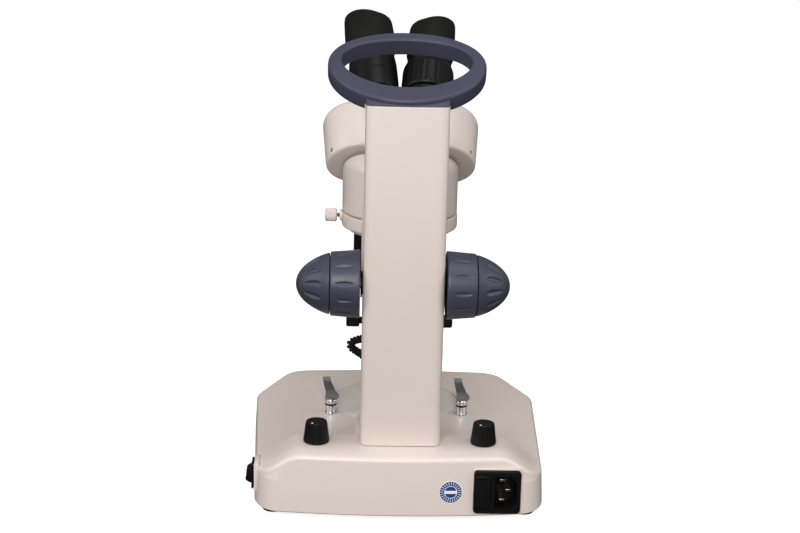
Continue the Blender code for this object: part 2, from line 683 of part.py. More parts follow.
def make_turret():
    axis = upright(0, AXIS_Y, 0)
    profile = [
        (0, TURRET_LOW),
        (0.0270, TURRET_LOW),
        (0.0290, TURRET_LOW + 0.002),
        (0.0300, 0.138),
        (TURRET_RADIUS, 0.142),
        (TURRET_RADIUS, TURRET_TOP),
        (0, TURRET_TOP),
    ]
    turret = turned("objective_turret", profile, "black_plastic", axis, 36)
    for power, radius in OBJECTIVE_RADIUS.items():
        for side, name in ((-1, "left"), (1, "right")):
            offset = side * OBJECTIVE_OFFSET
            x, y = (offset, 0.0) if power == "low_power" else (0.0, offset)
            place = upright(x, AXIS_Y + y, 0)
            cut(turret, rod(f"{name}_{power}_hole", radius + GAP, 0.110, 0.170, None, place, 16))
            lens = [(0, 0.1290), (radius * 0.6, 0.1282), (radius, 0.1290), (radius, 0.1330), (0, 0.1330)]
            thing = turned(f"{name}_{power}_lens", lens, "glass", place, 16)
            move_origin(thing, (0, AXIS_Y, TURRET_TOP))


def housing_place(side):
    """Local Z is the housing's axis, local -X or +X points outwards, and local Y points up its back."""
    axis = (side * sin(HOUSING_SPLAY), -cos(HOUSING_SPLAY) / sqrt(2), cos(HOUSING_SPLAY) / sqrt(2))
    foot = (side * HOUSING_FOOT.x, HOUSING_FOOT.y, HOUSING_FOOT.z)
    return along(foot, axis)


def eyepiece_place(side, lift=0.0):
    shift = Vector((side * EYEPIECE_SHIFT.x, EYEPIECE_SHIFT.y, EYEPIECE_SHIFT.z + lift))
    return housing_place(side) @ Matrix.Translation(shift)


def make_prism_housing(side, name):
    place = housing_place(side)
    lean = HOUSING_RADIUS * sin(HOUSING_SPLAY) + GAP
    middle = (HOUSING_RADIUS - HOUSING_ROUND, HOUSING_LENGTH - HOUSING_ROUND)
    round_end = arc(middle, (HOUSING_ROUND, HOUSING_ROUND), 0, 90, 4)
    profile = [(0, lean), (HOUSING_RADIUS - 0.0006, lean), (HOUSING_RADIUS, lean + 0.0006)]
    housing = turned(f"{name}_prism_housing", profile + round_end + [(0, HOUSING_LENGTH)], "cream", place, 36)
    eye = eyepiece_place(side)
    fuse(housing, rod(f"{name}_neck", NECK_RADIUS, NECK_START, NECK_END, None, eye, 28))
    cut(
        housing,
        rod(f"{name}_prism_space", 0.0215, lean + 0.0025, 0.0405, None, place, 24),
        rod(f"{name}_light_port", 0.0100, -0.005, lean + 0.004, None, place, 20),
        rod(f"{name}_eye_bore", 0.0151, NECK_START + 0.001, 0.070, None, eye, 24),
    )
    prism = [(-0.012, -0.013), (0.012, -0.013), (0.012, 0.013), (-0.012, 0.013)]
    lean_loops = [
        [(x, y, lean + 0.004) for x, y in prism],
        [(x, y * 0.45 + 0.004, 0.030) for x, y in prism],
    ]
    stacked(f"{name}_prism", lean_loops, "glass", place)


def winged_eyecup(name, radius, lift, side):
    """A rubber cup whose rim stands higher on the outer side, to keep stray light out."""
    place = eyepiece_place(side, lift)
    steps = 24
    low, high = EYECUP_STATION + GAP, EYECUP_END

    def loop(size, height, wing):
        points = []
        for i in range(steps):
            angle = 2 * pi * i / steps
            rise = wing * max(cos(angle - (0.0 if side > 0 else pi)), -0.4)
            points.append((size * cos(angle), size * sin(angle), height + rise))
        return points

    loops = [
        loop(0.0120, low, 0),
        loop(radius - 0.0010, low, 0),
        loop(radius, low + 0.003, 0),
        loop(radius, (low + high) / 2, 0.001),
        loop(radius - 0.0008, high, 0.0045),
        loop(radius - 0.0022, high, 0.0045),
        loop(radius - 0.0028, (low + high) / 2, 0.001),
        loop(0.0120, low + 0.006, 0),
    ]
    shape = bmesh.new()
    rings = [[shape.verts.new(point) for point in ring] for ring in loops]
    for below, above in zip(rings, rings[1:] + rings[:1]):
        for i in range(steps):
            j = (i + 1) % steps
            shape.faces.new((below[i], below[j], above[j], above[i]))
    return add_object(name, shape, "rubber", place)


def make_eyepiece(side, name):
    lift = EYEPIECE_LIFT[name]
    place = eyepiece_place(side, lift)
    insert, start = 0.0148, NECK_END + GAP
    if name == "left":
        start += DIOPTER_TRAVEL
        outer = [(0.0172, start), (0.0172, 0.0550), (0.0152, 0.0553)]
        outer += [(0.0152, 0.0826), (0.0165, 0.0850), (0.0160, 0.0885)]
    else:
        outer = [(0.0172, start), (0.0180, 0.0560), (0.0182, 0.0760), (0.0172, 0.0860), (0.0165, 0.0885)]
    top = EYECUP_STATION
    low = NECK_START + 0.0014 + DIOPTER_TRAVEL
    profile = [(0.0110, low), (insert, low), (insert, start), *outer, (0.0145, top), (0.0110, top)]
    turned(f"{name}_eyepiece", profile, "black_plastic", place, 28, hollow=True)
    winged_eyecup(f"{name}_eyecup", 0.0190 if name == "right" else 0.0180, lift, side)
    lens = [(0, 0.0840), (0.0104, 0.0840), (0.0104, 0.0870), (0.006, 0.0885), (0, 0.0890)]
    turned(f"{name}_eye_lens", lens, "glass", place, 16)
    if name == "left":
        ring = [(0.0155, 0.0556), (0.0186, 0.0556), (0.0193, 0.0570)]
        ring += [(0.0193, 0.0780), (0.0175, 0.0822), (0.0155, 0.0822)]
        turned("diopter_ring", ring, "black_plastic", place, 28, hollow=True)


def make_controls():
    dial = [
        (0, 0.0003),
        (DIAL_LOW_RADIUS, 0.0003),
        (DIAL_LOW_RADIUS - 0.0003, 0.003),
        (DIAL_TOP_RADIUS, DIAL_HEIGHT - 0.001),
        (DIAL_TOP_RADIUS - 0.001, DIAL_HEIGHT),
        (0, DIAL_HEIGHT),
    ]
    for side, name in ((-1, "left"), (1, "right")):
        place = upright(side * DIAL_X, DIAL_Y, RAISED_TOP)
        knob = turned(f"{name}_dial", dial, "black_plastic", place, 20)
        fuse(knob, rod(f"{name}_dial_stem", 0.0020, -0.008, 0.002, None, place, 10))
        pot = turned(
            f"{name}_dimmer",
            [
                (0, -0.0140),
                (0.0065, -0.0140),
                (0.0065, -0.0040),
                (0.0034, -0.0040),
                (0.0034, -0.0006),
                (0, -0.0006),
            ],
            "steel",
            place,
            12,
        )
        cut(pot, rod(f"{name}_dimmer_bore", 0.0024, -0.0085, 0.002, None, place, 10))
    side_view = along((SWITCH_X, SWITCH_Y, SWITCH_Z), (1, 0, 0), (0, 1, 0))
    face, sleeve = rounded_box(*SWITCH_HALF, 0.001, 1), rounded_box(0.0060, 0.0072, 0.0005, 1)
    window = rounded_box(0.0048, 0.0064, 0.0004, 1)
    frame = extruded("switch_frame", face, GAP, 0.0018, "black_plastic", side_view)
    fuse(frame, extruded("switch_sleeve", sleeve, -0.0130, 0.0010, None, side_view))
    cut(frame, extruded("switch_window", window, -0.0110, 0.0100, None, side_view))
    front_view = along((SWITCH_X, SWITCH_Y, SWITCH_Z), (0, 1, 0))
    tipped = Matrix.Rotation(radians(-9), 4, "Y")
    rocker = [(0.0, 0.0060), (0.0024, 0.0058), (0.0058, 0.0030), (0.0054, -0.0010), (0.0056, -0.0044)]
    rocker += [(0.0026, -0.0058), (0.0, -0.0060), (-0.0060, -0.0030), (-0.0060, 0.0030)]
    outline = [tipped @ Vector((x, 0, z)) for x, z in rocker]
    extruded("switch_rocker", [(p.x, -p.z) for p in outline], -0.0045, 0.0045, "black_plastic", front_view)


def make_inlet():
    """The mains inlet: a flange on the rear wall, a socket with three blades, and a fuse drawer beside it."""
    rear_view = along((INLET_X, 0, INLET_Z), (0, 1, 0))
    outline = rounded_box(*INLET_HALF, 0.0026, 2)
    flange = extruded("inlet_housing", outline, INLET_SEAT + GAP, INLET_FACE, "black_plastic", rear_view)
    body = block(
        "inlet_body",
        (INLET_X - 0.0140, 0.1035, INLET_Z - 0.0135),
        (INLET_X + 0.0150, INLET_SEAT + 0.001, INLET_Z + 0.0135),
        None,
    )
    fuse(flange, body)
    socket = block(
        "socket_space",
        (SOCKET_X - 0.0075, 0.1075, INLET_Z - 0.0115),
        (SOCKET_X + 0.0075, 0.13, INLET_Z + 0.0115),
        None,
    )
    drawer_space = block(
        "drawer_space",
        (DRAWER_X - DRAWER_HALF - GAP, 0.1055, INLET_Z - 0.0120),
        (DRAWER_X + DRAWER_HALF + GAP, 0.13, INLET_Z + 0.0120),
        None,
    )
    cut(flange, socket, drawer_space)
    for name, x, z in (("line", 0.0020, 0.0070), ("neutral", 0.0020, -0.0070), ("earth", -0.0020, 0.0)):
        block(
            f"{name}_blade",
            (SOCKET_X + x - 0.0020, 0.1078, INLET_Z + z - 0.0010),
            (SOCKET_X + x + 0.0020, 0.1190, INLET_Z + z + 0.0010),
            "steel",
        )
    drawer = block(
        "fuse_drawer",
        (DRAWER_X - DRAWER_HALF, 0.1059, INLET_Z - 0.0116),
        (DRAWER_X + DRAWER_HALF, INLET_FACE + 0.0004, INLET_Z + 0.0116),
        "black_plastic",
    )
    fuse_space = block(
        "fuse_space", (DRAWER_X - 0.0033, 0.1075, INLET_Z - 0.0105), (0, 0.1190, INLET_Z + 0.0105), None
    )
    cut(drawer, fuse_space)


def leaf_sections():
    """Cross-sections of a stage clip's spring leaf, from its root over the post to its upturned tip."""
    loops = []
    for y, z, left, right in CLIP_LEAF:
        low, high = z, z + CLIP_LEAF_THICKNESS
        loops.append([(left, y, low), (right, y, low), (right, y, high), (left, y, high)])
    return loops


def make_stage_clips():
    for side, name in ((-1, "left"), (1, "right")):
        place = upright(side * CLIP_X, CLIP_Y, DECK_TOP)
        bush = [(0.0018, -0.008), (0.0030, -0.008), (0.0030, GAP)]
        bush += [(0.0040, GAP), (0.0040, 0.0075), (0.0018, 0.0075)]
        turned(f"{name}_clip_bush", bush, "steel", place, 16, hollow=True)
        clip = turned(
            f"{name}_stage_clip",
            [
                (0, -0.006),
                (0.0014, -0.006),
                (0.0014, 0.0078),
                (0.0042, 0.0078),
                (0.0044, 0.0085),
                (0.0044, 0.0108),
                (0.0036, 0.0116),
                (0, 0.0118),
            ],
            "steel",
            place,
            16,
        )
        turned_out = place @ Matrix.Rotation(CLIP_REST[name], 4, "Z")
        fuse(clip, stacked(f"{name}_leaf", leaf_sections(), None, turned_out))



def smooth_route(points, between):
    """Points on a Catmull-Rom curve through the route's own points."""
    points = [Vector(point) for point in points]
    ends = [2 * points[0] - points[1]] + points + [2 * points[-1] - points[-2]]
    curve = []
    for a, b, c, d in zip(ends, ends[1:], ends[2:], ends[3:]):
        for i in range(between):
            t = i / between
            squares, cubes = 2 * a - 5 * b + 4 * c - d, 3 * b - a - 3 * c + d
            curve.append(0.5 * (2 * b + (c - a) * t + squares * t**2 + cubes * t**3))
    return curve + [points[-1]]


def make_cable():
    curve = bpy.data.curves.new("lamp_cable", "CURVE")
    curve.dimensions = "3D"
    curve.bevel_depth = CABLE_RADIUS
    curve.bevel_resolution = 2
    curve.use_fill_caps = True
    spline = curve.splines.new("POLY")
    route = smooth_route(CABLE_ROUTE, 2)
    spline.points.add(len(route) - 1)
    for point, place in zip(spline.points, route):
        point.co = (*place, 1.0)
    curve.materials.append(bpy.data.materials["rubber"])
    bpy.context.scene.collection.objects.link(bpy.data.objects.new("lamp_cable", curve))


def main():
    clear_scene()
    make_materials()
    make_base()
    make_stage()
    make_pillar()
    make_handle()
    make_focus_drive()
    make_carriage()
    make_lamp()
    make_head()
    make_turret()
    for side, name in ((-1, "left"), (1, "right")):
        make_prism_housing(side, name)
        make_eyepiece(side, name)
    # The right eyepiece has no dioptre travel, so it turns with its prism housing.
    for piece in ("right_eyepiece", "right_eyecup", "right_eye_lens"):
        move_origin(bpy.data.objects[piece], (HOUSING_FOOT.x, HOUSING_FOOT.y, HOUSING_FOOT.z))
    make_controls()
    make_inlet()
    make_stage_clips()
    make_cable()


main()
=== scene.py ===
"""Stereo microscope seen from behind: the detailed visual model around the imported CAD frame.

Metres, +Z up, the user on the -Y side. Lengths repeat the CAD part's own; left and right are the user's.
"""

from math import cos, pi, radians, sin, sqrt
import bmesh  # noqa: E402
import bpy  # noqa: E402
from mathutils import Matrix, Vector  # noqa: E402


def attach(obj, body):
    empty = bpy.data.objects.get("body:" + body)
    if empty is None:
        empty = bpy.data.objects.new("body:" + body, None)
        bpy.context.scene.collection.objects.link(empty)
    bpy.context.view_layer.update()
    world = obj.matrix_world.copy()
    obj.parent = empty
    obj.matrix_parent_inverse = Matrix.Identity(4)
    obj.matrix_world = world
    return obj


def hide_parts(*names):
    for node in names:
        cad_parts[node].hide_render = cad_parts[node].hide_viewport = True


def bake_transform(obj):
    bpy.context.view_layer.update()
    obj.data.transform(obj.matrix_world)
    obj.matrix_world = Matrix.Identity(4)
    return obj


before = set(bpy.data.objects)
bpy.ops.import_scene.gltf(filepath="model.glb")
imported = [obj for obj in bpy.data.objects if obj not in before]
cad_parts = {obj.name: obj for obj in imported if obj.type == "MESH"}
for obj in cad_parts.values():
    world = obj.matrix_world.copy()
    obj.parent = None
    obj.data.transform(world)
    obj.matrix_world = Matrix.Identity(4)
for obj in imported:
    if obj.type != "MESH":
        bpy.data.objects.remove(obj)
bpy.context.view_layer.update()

SIDES = ((-1, "left"), (1, "right"))

# Camera
CAMERA_PLACE, CAMERA_FORWARD = (0.0329, 1.0541, 0.4215), Vector((-0.0304184, -0.9668564, -0.2535039))
CAMERA_ROLL, CAMERA_LENS, CAMERA_SENSOR = radians(1.37), 67.86, 36.0

# The clearance left between neighbouring pieces
GAP = 0.0003

# Base
SHELL_BOTTOM, SIDE_TOP, DECK_TOP, DECK_UNDERSIDE = 0.0051, 0.0270, 0.0310, 0.0255
RAISED_TOP, RAISED_FRONT, RAISED_FLAT_HALF, RAISED_END_HALF = 0.0470, 0.0820, 0.0660, 0.0962
RAISED_END_DROP, RAISED_END_RUN = 0.0176, 0.0370
REAR_Y, REAR_BOW_RADIUS, REAR_HALF = 0.1240, 0.620, 0.0987
REAR_CORNER, SIDE_CORNER, FRONT_CORNER = (0.018, 0.027), (0.1070, -0.0455), (0.0835, -0.1040)
FRONT_BOW, FRONT_REACH, SIDE_REACH = 0.0058, 0.014, 0.005
OUTLINE_MIDDLE_Y = 0.010

# Pillar and handle
PILLAR_REAR, PILLAR_DEPTH, PILLAR_HALF, PILLAR_TOP = 0.1040, 0.0500, 0.0270, 0.2770
PILLAR_CORNER, PILLAR_WALL = 0.006, 0.003
PILLAR_MIDDLE, PILLAR_FRONT = PILLAR_REAR - PILLAR_DEPTH / 2, PILLAR_REAR - PILLAR_DEPTH
HANDLE_TILT = radians(27)
HANDLE_OUTER, HANDLE_HOLE, HANDLE_HOLE_SHIFT = (0.0522, 0.0404), (0.0428, 0.0268), 0.0035
HANDLE_EGG = 0.0036
HANDLE_THICKNESS, HANDLE_NEAR_TOP, HANDLE_CAP = 0.0125, 0.2805, 0.0040

# Focus drive
DRIVE_Y, DRIVE_Z = 0.0840, 0.1547
KNOB_INNER, KNOB_SEAM, KNOB_TIP = 0.0287, 0.0489, 0.0715
KNOB_RADIUS, KNOB_SEAM_RADIUS, NOSE_RADIUS = 0.0230, 0.0214, 0.0206
KNOB_BORE, SCALLOPS = 0.0034, 12

# Optical axis, holder and head
AXIS_Y = -0.0330
RING_OUTER, RING_INNER, RING_LOW, RING_HIGH = 0.0427, 0.0382, 0.1680, 0.1785
ARM_HALF, ARM_LOW = 0.0280, 0.1500
RACK_LOW, RACK_HIGH = 0.1240, 0.1960
HEAD_RADIUS, HEAD_LOW, HEAD_TOP = 0.0423, 0.1788, 0.2242
SPIGOT_RADIUS, SPIGOT_LOW = 0.0379, 0.1655
LOCK_Z = 0.1752
TURRET_RADIUS, TURRET_TOP, TURRET_LOW = 0.0335, 0.1650, 0.1260
OBJECTIVE_OFFSET = 0.0145
OBJECTIVE_RADIUS = {"low_power": 0.0072, "high_power": 0.0058}

# Prism housings and eyepieces
HOUSING_FOOT, HOUSING_SPLAY = Vector((0.0294, -0.0286, 0.2121)), radians(5)
HOUSING_RADIUS, HOUSING_LENGTH, HOUSING_ROUND = 0.0250, 0.0460, 0.0090
NECK_RADIUS, NECK_START, NECK_END = 0.0168, 0.0355, 0.0500
EYEPIECE_SHIFT = (-0.0157, 0.0060, 0.0034)
EYECUP_STATION, EYECUP_END = 0.0905, 0.1195
EYEPIECE_LIFT = {"left": 0.0, "right": 0.0045}

# Lamp
LAMP_PIVOT, LAMP_TILT, LAMP_RADIUS, LAMP_EAR = Vector((0.0, 0.0190, 0.1100)), radians(33), 0.0170, 0.0245

# Controls
DIAL_X, DIAL_Y = 0.0566, 0.0955
DIAL_LOW_RADIUS, DIAL_TOP_RADIUS, DIAL_HEIGHT = 0.0088, 0.0073, 0.0150
SWITCH = Vector((0.0985, 0.0930, 0.0227))
INLET_X, INLET_Z, INLET_HALF = -0.0648, 0.0227, (0.0157, 0.0152)
INLET_FACE, INLET_SEAT = 0.1232, 0.1205
DRAWER_X, DRAWER_HALF, SOCKET_X = -0.0550, 0.0053, -0.0704
CLIP_X, CLIP_Y, STAGE_RADIUS = 0.0485, -0.0040, 0.0475
CLIP_REST = {"left": radians(0), "right": radians(5.5)}
# Along a clip's leaf: y, height of its underside, and its two sides.
CLIP_LEAF = [
    (0.0034, 0.0104, -0.0040, 0.0030),
    (-0.0010, 0.0112, -0.0062, 0.0044),
    (-0.0060, 0.0118, -0.0062, 0.0034),
    (-0.0120, 0.0122, -0.0044, 0.0030),
    (-0.0330, 0.0108, -0.0034, 0.0030),
    (-0.0400, 0.0102, -0.0032, 0.0029),
    (-0.0460, 0.0118, -0.0030, 0.0028),
]
STICKER_X, STICKER_Z, STICKER_RADIUS = -0.0338, 0.0223, 0.0079


# ---------------------------------------------------------------- camera


def make_camera():
    right = CAMERA_FORWARD.cross(Vector((0, 0, 1))).normalized()
    up = right.cross(CAMERA_FORWARD)
    rolled_right = cos(CAMERA_ROLL) * right + sin(CAMERA_ROLL) * up
    rolled_up = cos(CAMERA_ROLL) * up - sin(CAMERA_ROLL) * right
    data = bpy.data.cameras.new("camera")
    data.lens, data.sensor_width = CAMERA_LENS, CAMERA_SENSOR
    data.clip_start, data.clip_end = 0.01, 20
    camera = bpy.data.objects.new("camera", data)
    bpy.context.scene.collection.objects.link(camera)
    turned = Matrix((rolled_right, rolled_up, -CAMERA_FORWARD)).transposed().to_4x4()
    camera.matrix_world = Matrix.Translation(CAMERA_PLACE) @ turned
    bpy.context.scene.camera = camera


# ---------------------------------------------------------------- materials


class Nodes:
    """A short way to add and join shader nodes."""

    def __init__(self, name):
        self.material = bpy.data.materials.new(name)
        self.material.use_nodes = True
        self.tree = self.material.node_tree
        self.shader = self.tree.nodes["Principled BSDF"]
        self.place = self.add("ShaderNodeTexCoord").outputs["Object"]

    def add(self, kind, inputs=None, **settings):
        node = self.tree.nodes.new(kind)
        for key, value in settings.items():
            setattr(node, key, value)
        for key, value in (inputs or {}).items():
            socket = node.inputs[key]
            if isinstance(value, bpy.types.NodeSocket):
                self.tree.links.new(value, socket)
            else:
                socket.default_value = value
        return node

    def noise(self, scale, detail=3.0, roughness=0.5, stretch=(1, 1, 1)):
        place = self.place
        if stretch != (1, 1, 1):
            place = self.add("ShaderNodeMapping", {"Vector": place, "Scale": stretch}).outputs[0]
        found = self.add(
            "ShaderNodeTexNoise",
            {"Vector": place, "Scale": scale, "Detail": detail, "Roughness": roughness},
        )
        return found.outputs["Fac"]

    def spread(self, value, low, high, start=0.3, end=0.7):
        """The value from start to end, brought to low to high."""
        found = self.add(
            "ShaderNodeMapRange",
            {"Value": value, "From Min": start, "From Max": end, "To Min": low, "To Max": high},
        )
        return found.outputs[0]

    def colour_mix(self, share, first, second):
        node = self.tree.nodes.new("ShaderNodeMix")
        node.data_type = "RGBA"
        for index, value in ((0, share), (6, first), (7, second)):
            if isinstance(value, bpy.types.NodeSocket):
                self.tree.links.new(value, node.inputs[index])
            else:
                node.inputs[index].default_value = value if index == 0 else (*value, 1.0)
        return node.outputs[2]

    def bump(self, height, distance, strength=1.0, under=None):
        inputs = {"Height": height, "Distance": distance, "Strength": strength}
        if under is not None:
            inputs["Normal"] = under
        return self.add("ShaderNodeBump", inputs).outputs[0]

    def set(self, **sockets):
        for key, value in sockets.items():
            socket = self.shader.inputs[key.replace("_", " ")]
            if isinstance(value, bpy.types.NodeSocket):
                self.tree.links.new(value, socket)
            else:
                socket.default_value = value
        return self.material


def shade(colour, factor):
    return tuple(min(c * factor, 1.0) for c in colour)


def enamel(name, colour):
    """Sprayed enamel: faint orange peel, uneven gloss and very faint handling marks."""
    n = Nodes(name)
    cloud = n.spread(n.noise(14, 4), 0, 1)
    base = n.colour_mix(cloud, shade(colour, 0.985), shade(colour, 1.012))
    grime = n.spread(n.noise(60, 6, 0.65), 0, 0.05, 0.58, 0.80)
    base = n.colour_mix(grime, base, (colour[0] * 0.86, colour[1] * 0.82, colour[2] * 0.76))
    peel = n.bump(n.noise(420, 2, 0.4), 0.00004, 0.4)
    fine = n.bump(n.noise(2600, 2), 0.000010, 0.3, peel)
    rough = n.spread(n.noise(35, 5, 0.6), 0.30, 0.42)
    return n.set(
        Base_Color=base, Roughness=rough, Normal=fine, Specular_IOR_Level=0.35, Coat_Weight=0.18,
        Coat_Roughness=0.2
    )


def moulded(name, colour, rough, grain=900, height=0.00004, variation=0.12, specular=0.5):
    """Moulded plastic with a fine spark-eroded grain, faint flow marks and rubbed shinier patches."""
    n = Nodes(name)
    flow = n.spread(n.noise(25, 4, 0.6, (1, 1, 0.35)), 0, 1)
    base = n.colour_mix(flow, shade(colour, 1 - variation), shade(colour, 1 + variation))
    dust = n.spread(n.noise(240, 8, 0.75), 0, 0.015, 0.62, 0.80)
    base = n.colour_mix(dust, base, (0.42, 0.40, 0.38))
    pits = n.bump(n.noise(grain, 3, 0.6), height, 0.6)
    gloss = n.spread(n.noise(45, 5, 0.6), rough - 0.07, rough + 0.07)
    return n.set(Base_Color=base, Roughness=gloss, Normal=pits, Specular_IOR_Level=specular)


def rubbery(name, colour):
    n = Nodes(name)
    bloom = n.spread(n.noise(50, 6, 0.7), 0, 1)
    base = n.colour_mix(bloom, shade(colour, 0.8), shade(colour, 1.7))
    dust = n.spread(n.noise(700, 4, 0.7), 0, 0.03, 0.60, 0.82)
    base = n.colour_mix(dust, base, (0.20, 0.18, 0.17))
    skin = n.bump(n.noise(1400, 4, 0.7), 0.00005, 0.6)
    rough = n.spread(n.noise(90, 4), 0.50, 0.68)
    return n.set(Base_Color=base, Roughness=rough, Normal=skin, Specular_IOR_Level=0.16)


def metal(name, colour, rough, stretch=(1, 1, 1), brushed=0.00002):
    """Machined or plated metal: fine tool marks along one direction and a faint smoky patchiness."""
    n = Nodes(name)
    smoke = n.spread(n.noise(70, 5, 0.6), 0, 1)
    base = n.colour_mix(smoke, shade(colour, 0.88), shade(colour, 1.04))
    marks = n.bump(n.noise(900, 3, 0.6, stretch), brushed, 0.5)
    gloss = n.spread(n.noise(160, 4, 0.6), rough * 0.75, rough * 1.3)
    return n.set(Base_Color=base, Metallic=1.0, Roughness=gloss, Normal=marks)


def clear_glass(name, tint, coat=None):
    n = Nodes(name)
    smear = n.spread(n.noise(55, 5, 0.6), 0.015, 0.07)
    edge = n.spread(n.noise(18, 3), 0, 1)
    base = n.colour_mix(edge, shade(tint, 0.96), tint)
    n.set(Base_Color=base, Roughness=smear, Transmission_Weight=1.0, IOR=1.5)
    if coat:
        n.set(Coat_Weight=0.8, Coat_Tint=(*coat, 1), Coat_Roughness=0.03)
    return n.material


def frosted(name, colour):
    n = Nodes(name)
    cloud = n.spread(n.noise(90, 4), 0, 1)
    base = n.colour_mix(cloud, shade(colour, 0.93), colour)
    grit = n.bump(n.noise(3000, 2), 0.00003, 0.5)
    rough = n.spread(n.noise(40, 3), 0.38, 0.5)
    return n.set(
        Base_Color=base, Roughness=rough, Normal=grit, Coat_Weight=0.5, Coat_Roughness=0.06,
        Subsurface_Weight=0.15,
        Subsurface_Scale=0.002,
    )


def board_green(name):
    n = Nodes(name)
    weave = n.spread(n.noise(1800, 2, 0.5, (1, 0.2, 1)), 0, 1)
    base = n.colour_mix(weave, (0.012, 0.11, 0.05), (0.02, 0.19, 0.085))
    traces = n.spread(n.noise(300, 0, 0.5, (1, 4, 1)), 0, 0.7, 0.55, 0.58)
    base = n.colour_mix(traces, base, (0.05, 0.32, 0.15))
    return n.set(
        Base_Color=base, Roughness=n.spread(n.noise(200, 3), 0.3, 0.45), Normal=n.bump(traces, 0.00005)
    )


def printed(name, colour):
    """Ink or film on a vinyl label."""
    n = Nodes(name)
    fade = n.spread(n.noise(260, 4, 0.6), 0, 1)
    base = n.colour_mix(fade, shade(colour, 0.9), shade(colour, 1.05))
    film = n.bump(n.noise(700, 3), 0.00002, 0.4)
    return n.set(Base_Color=base, Roughness=n.spread(n.noise(120, 3), 0.3, 0.45), Normal=film)


def make_materials():
    cream = (0.665, 0.585, 0.535)
    return {
        "cream": enamel("cream_enamel", cream),
        "handle": moulded("blue_grey_plastic", (0.052, 0.050, 0.082), 0.42, 1100, 0.00003, 0.08, 0.30),
        "knob": moulded("knob_plastic", (0.048, 0.048, 0.074), 0.36, 1200, 0.000025, 0.08, 0.35),
        "black": moulded("black_plastic", (0.0045, 0.0042, 0.0046), 0.36, 1000, 0.00003, 0.2, 0.18),
        "satin": moulded("black_anodised", (0.0045, 0.0043, 0.0043), 0.34, 2200, 0.00002, 0.15, 0.20),
        "plate": moulded("plate_blue_black", (0.012, 0.014, 0.045), 0.45, 700, 0.00006, 0.2),
        "rubber": rubbery("soft_rubber", (0.0045, 0.0041, 0.0040)),
        "steel": metal("turned_steel", (0.56, 0.55, 0.54), 0.26, (1, 1, 14)),
        "chrome": metal("chrome_plate", (0.66, 0.66, 0.67), 0.11, (1, 1, 1), 0.000006),
        "nickel": metal("dull_nickel", (0.34, 0.31, 0.27), 0.32, (1, 10, 1)),
        "brass": metal("brass", (0.72, 0.53, 0.26), 0.28, (1, 1, 10)),
        "glass": clear_glass("optical_glass", (0.95, 0.98, 0.97)),
        "coated": clear_glass("coated_lens", (0.85, 0.92, 0.98), (0.55, 0.70, 1.0)),
        "frosted": frosted("frosted_glass", (0.70, 0.63, 0.59)),
        "circuit": board_green("circuit"),
        "white": printed("white_ink", (0.82, 0.82, 0.80)),
        "blue": printed("blue_film", (0.016, 0.045, 0.19)),
        "pale_blue": printed("pale_blue_film", (0.20, 0.30, 0.55)),
    }


MATERIALS = make_materials()


# ---------------------------------------------------------------- shapes


def along(origin, axis, across=(1.0, 0.0, 0.0)):
    """A placement whose local Z runs along axis, with local X as near to across as it can be."""
    z = Vector(axis).normalized()
    y = z.cross(Vector(across)).normalized()
    x = y.cross(z)
    return Matrix.Translation(origin) @ Matrix((x, y, z)).transposed().to_4x4()


def upright(x, y, z=0.0):
    return Matrix.Translation((x, y, z))


def facing_x(origin, side=1):
    """A placement whose local Z runs along the world's X, or against it where side is -1."""
    return along(origin, (side, 0, 0), (0, 1, 0))


SIDE_VIEW = facing_x((0, 0, 0))
OPTICAL_AXIS = upright(0, AXIS_Y)


def arc(middle, radii, start, end, steps):
    angles = [radians(start + (end - start) * i / steps) for i in range(steps + 1)]
    return [(middle[0] + radii[0] * cos(a), middle[1] + radii[1] * sin(a)) for a in angles]


def rounded_box(half_x, half_y, radius, steps=8, middle=(0.0, 0.0)):
    points = []
    for start, sx, sy in ((0, 1, 1), (90, -1, 1), (180, -1, -1), (270, 1, -1)):
        centre = (middle[0] + sx * (half_x - radius), middle[1] + sy * (half_y - radius))
        points += arc(centre, (radius, radius), start, start + 90, steps)
    return points


def soft(points, radius, steps=4, closed=False):
    """A line of points, each corner rounded by about radius, or by the third number of its own point."""
    flat = [Vector(point[:2]) for point in points]
    count = len(flat)
    out = []
    for i, point in enumerate(points):
        here = flat[i]
        reach = point[2] if len(point) > 2 else radius
        if (not closed and i in (0, count - 1)) or reach == 0:
            out.append(tuple(here))
            continue
        before, after = flat[i - 1] - here, flat[(i + 1) % count] - here
        reach = min(reach, before.length * 0.49, after.length * 0.49)
        start, end = here + before.normalized() * reach, here + after.normalized() * reach
        for k in range(steps + 1):
            t = k / steps
            out.append(tuple((1 - t) ** 2 * start + 2 * t * (1 - t) * here + t * t * end))
    return out


def object_of(name, shape, place=None):
    """A new object, its place put into its mesh."""
    bmesh.ops.remove_doubles(shape, verts=shape.verts, dist=2e-7)
    bmesh.ops.recalc_face_normals(shape, faces=shape.faces)
    mesh = bpy.data.meshes.new(name)
    shape.to_mesh(mesh)
    shape.free()
    if place is not None:
        mesh.transform(place)
    thing = bpy.data.objects.new(name, mesh)
    bpy.context.scene.collection.objects.link(thing)
    return thing


def skinned(name, rows, place=None, closed=False):
    """Skins rows of equally many points, each row a ring. closed joins the last row to the first."""
    shape = bmesh.new()
    rings = [[shape.verts.new(point) for point in row] for row in rows]
    pairs = list(zip(rings, rings[1:])) + ([(rings[-1], rings[0])] if closed else [])
    for below, above in pairs:
        for i, corner in enumerate(below):
            j = (i + 1) % len(below)
            shape.faces.new((corner, below[j], above[j], above[i]))
    if not closed:
        shape.faces.new(reversed(rings[0]))
        shape.faces.new(rings[-1])
    return object_of(name, shape, place)


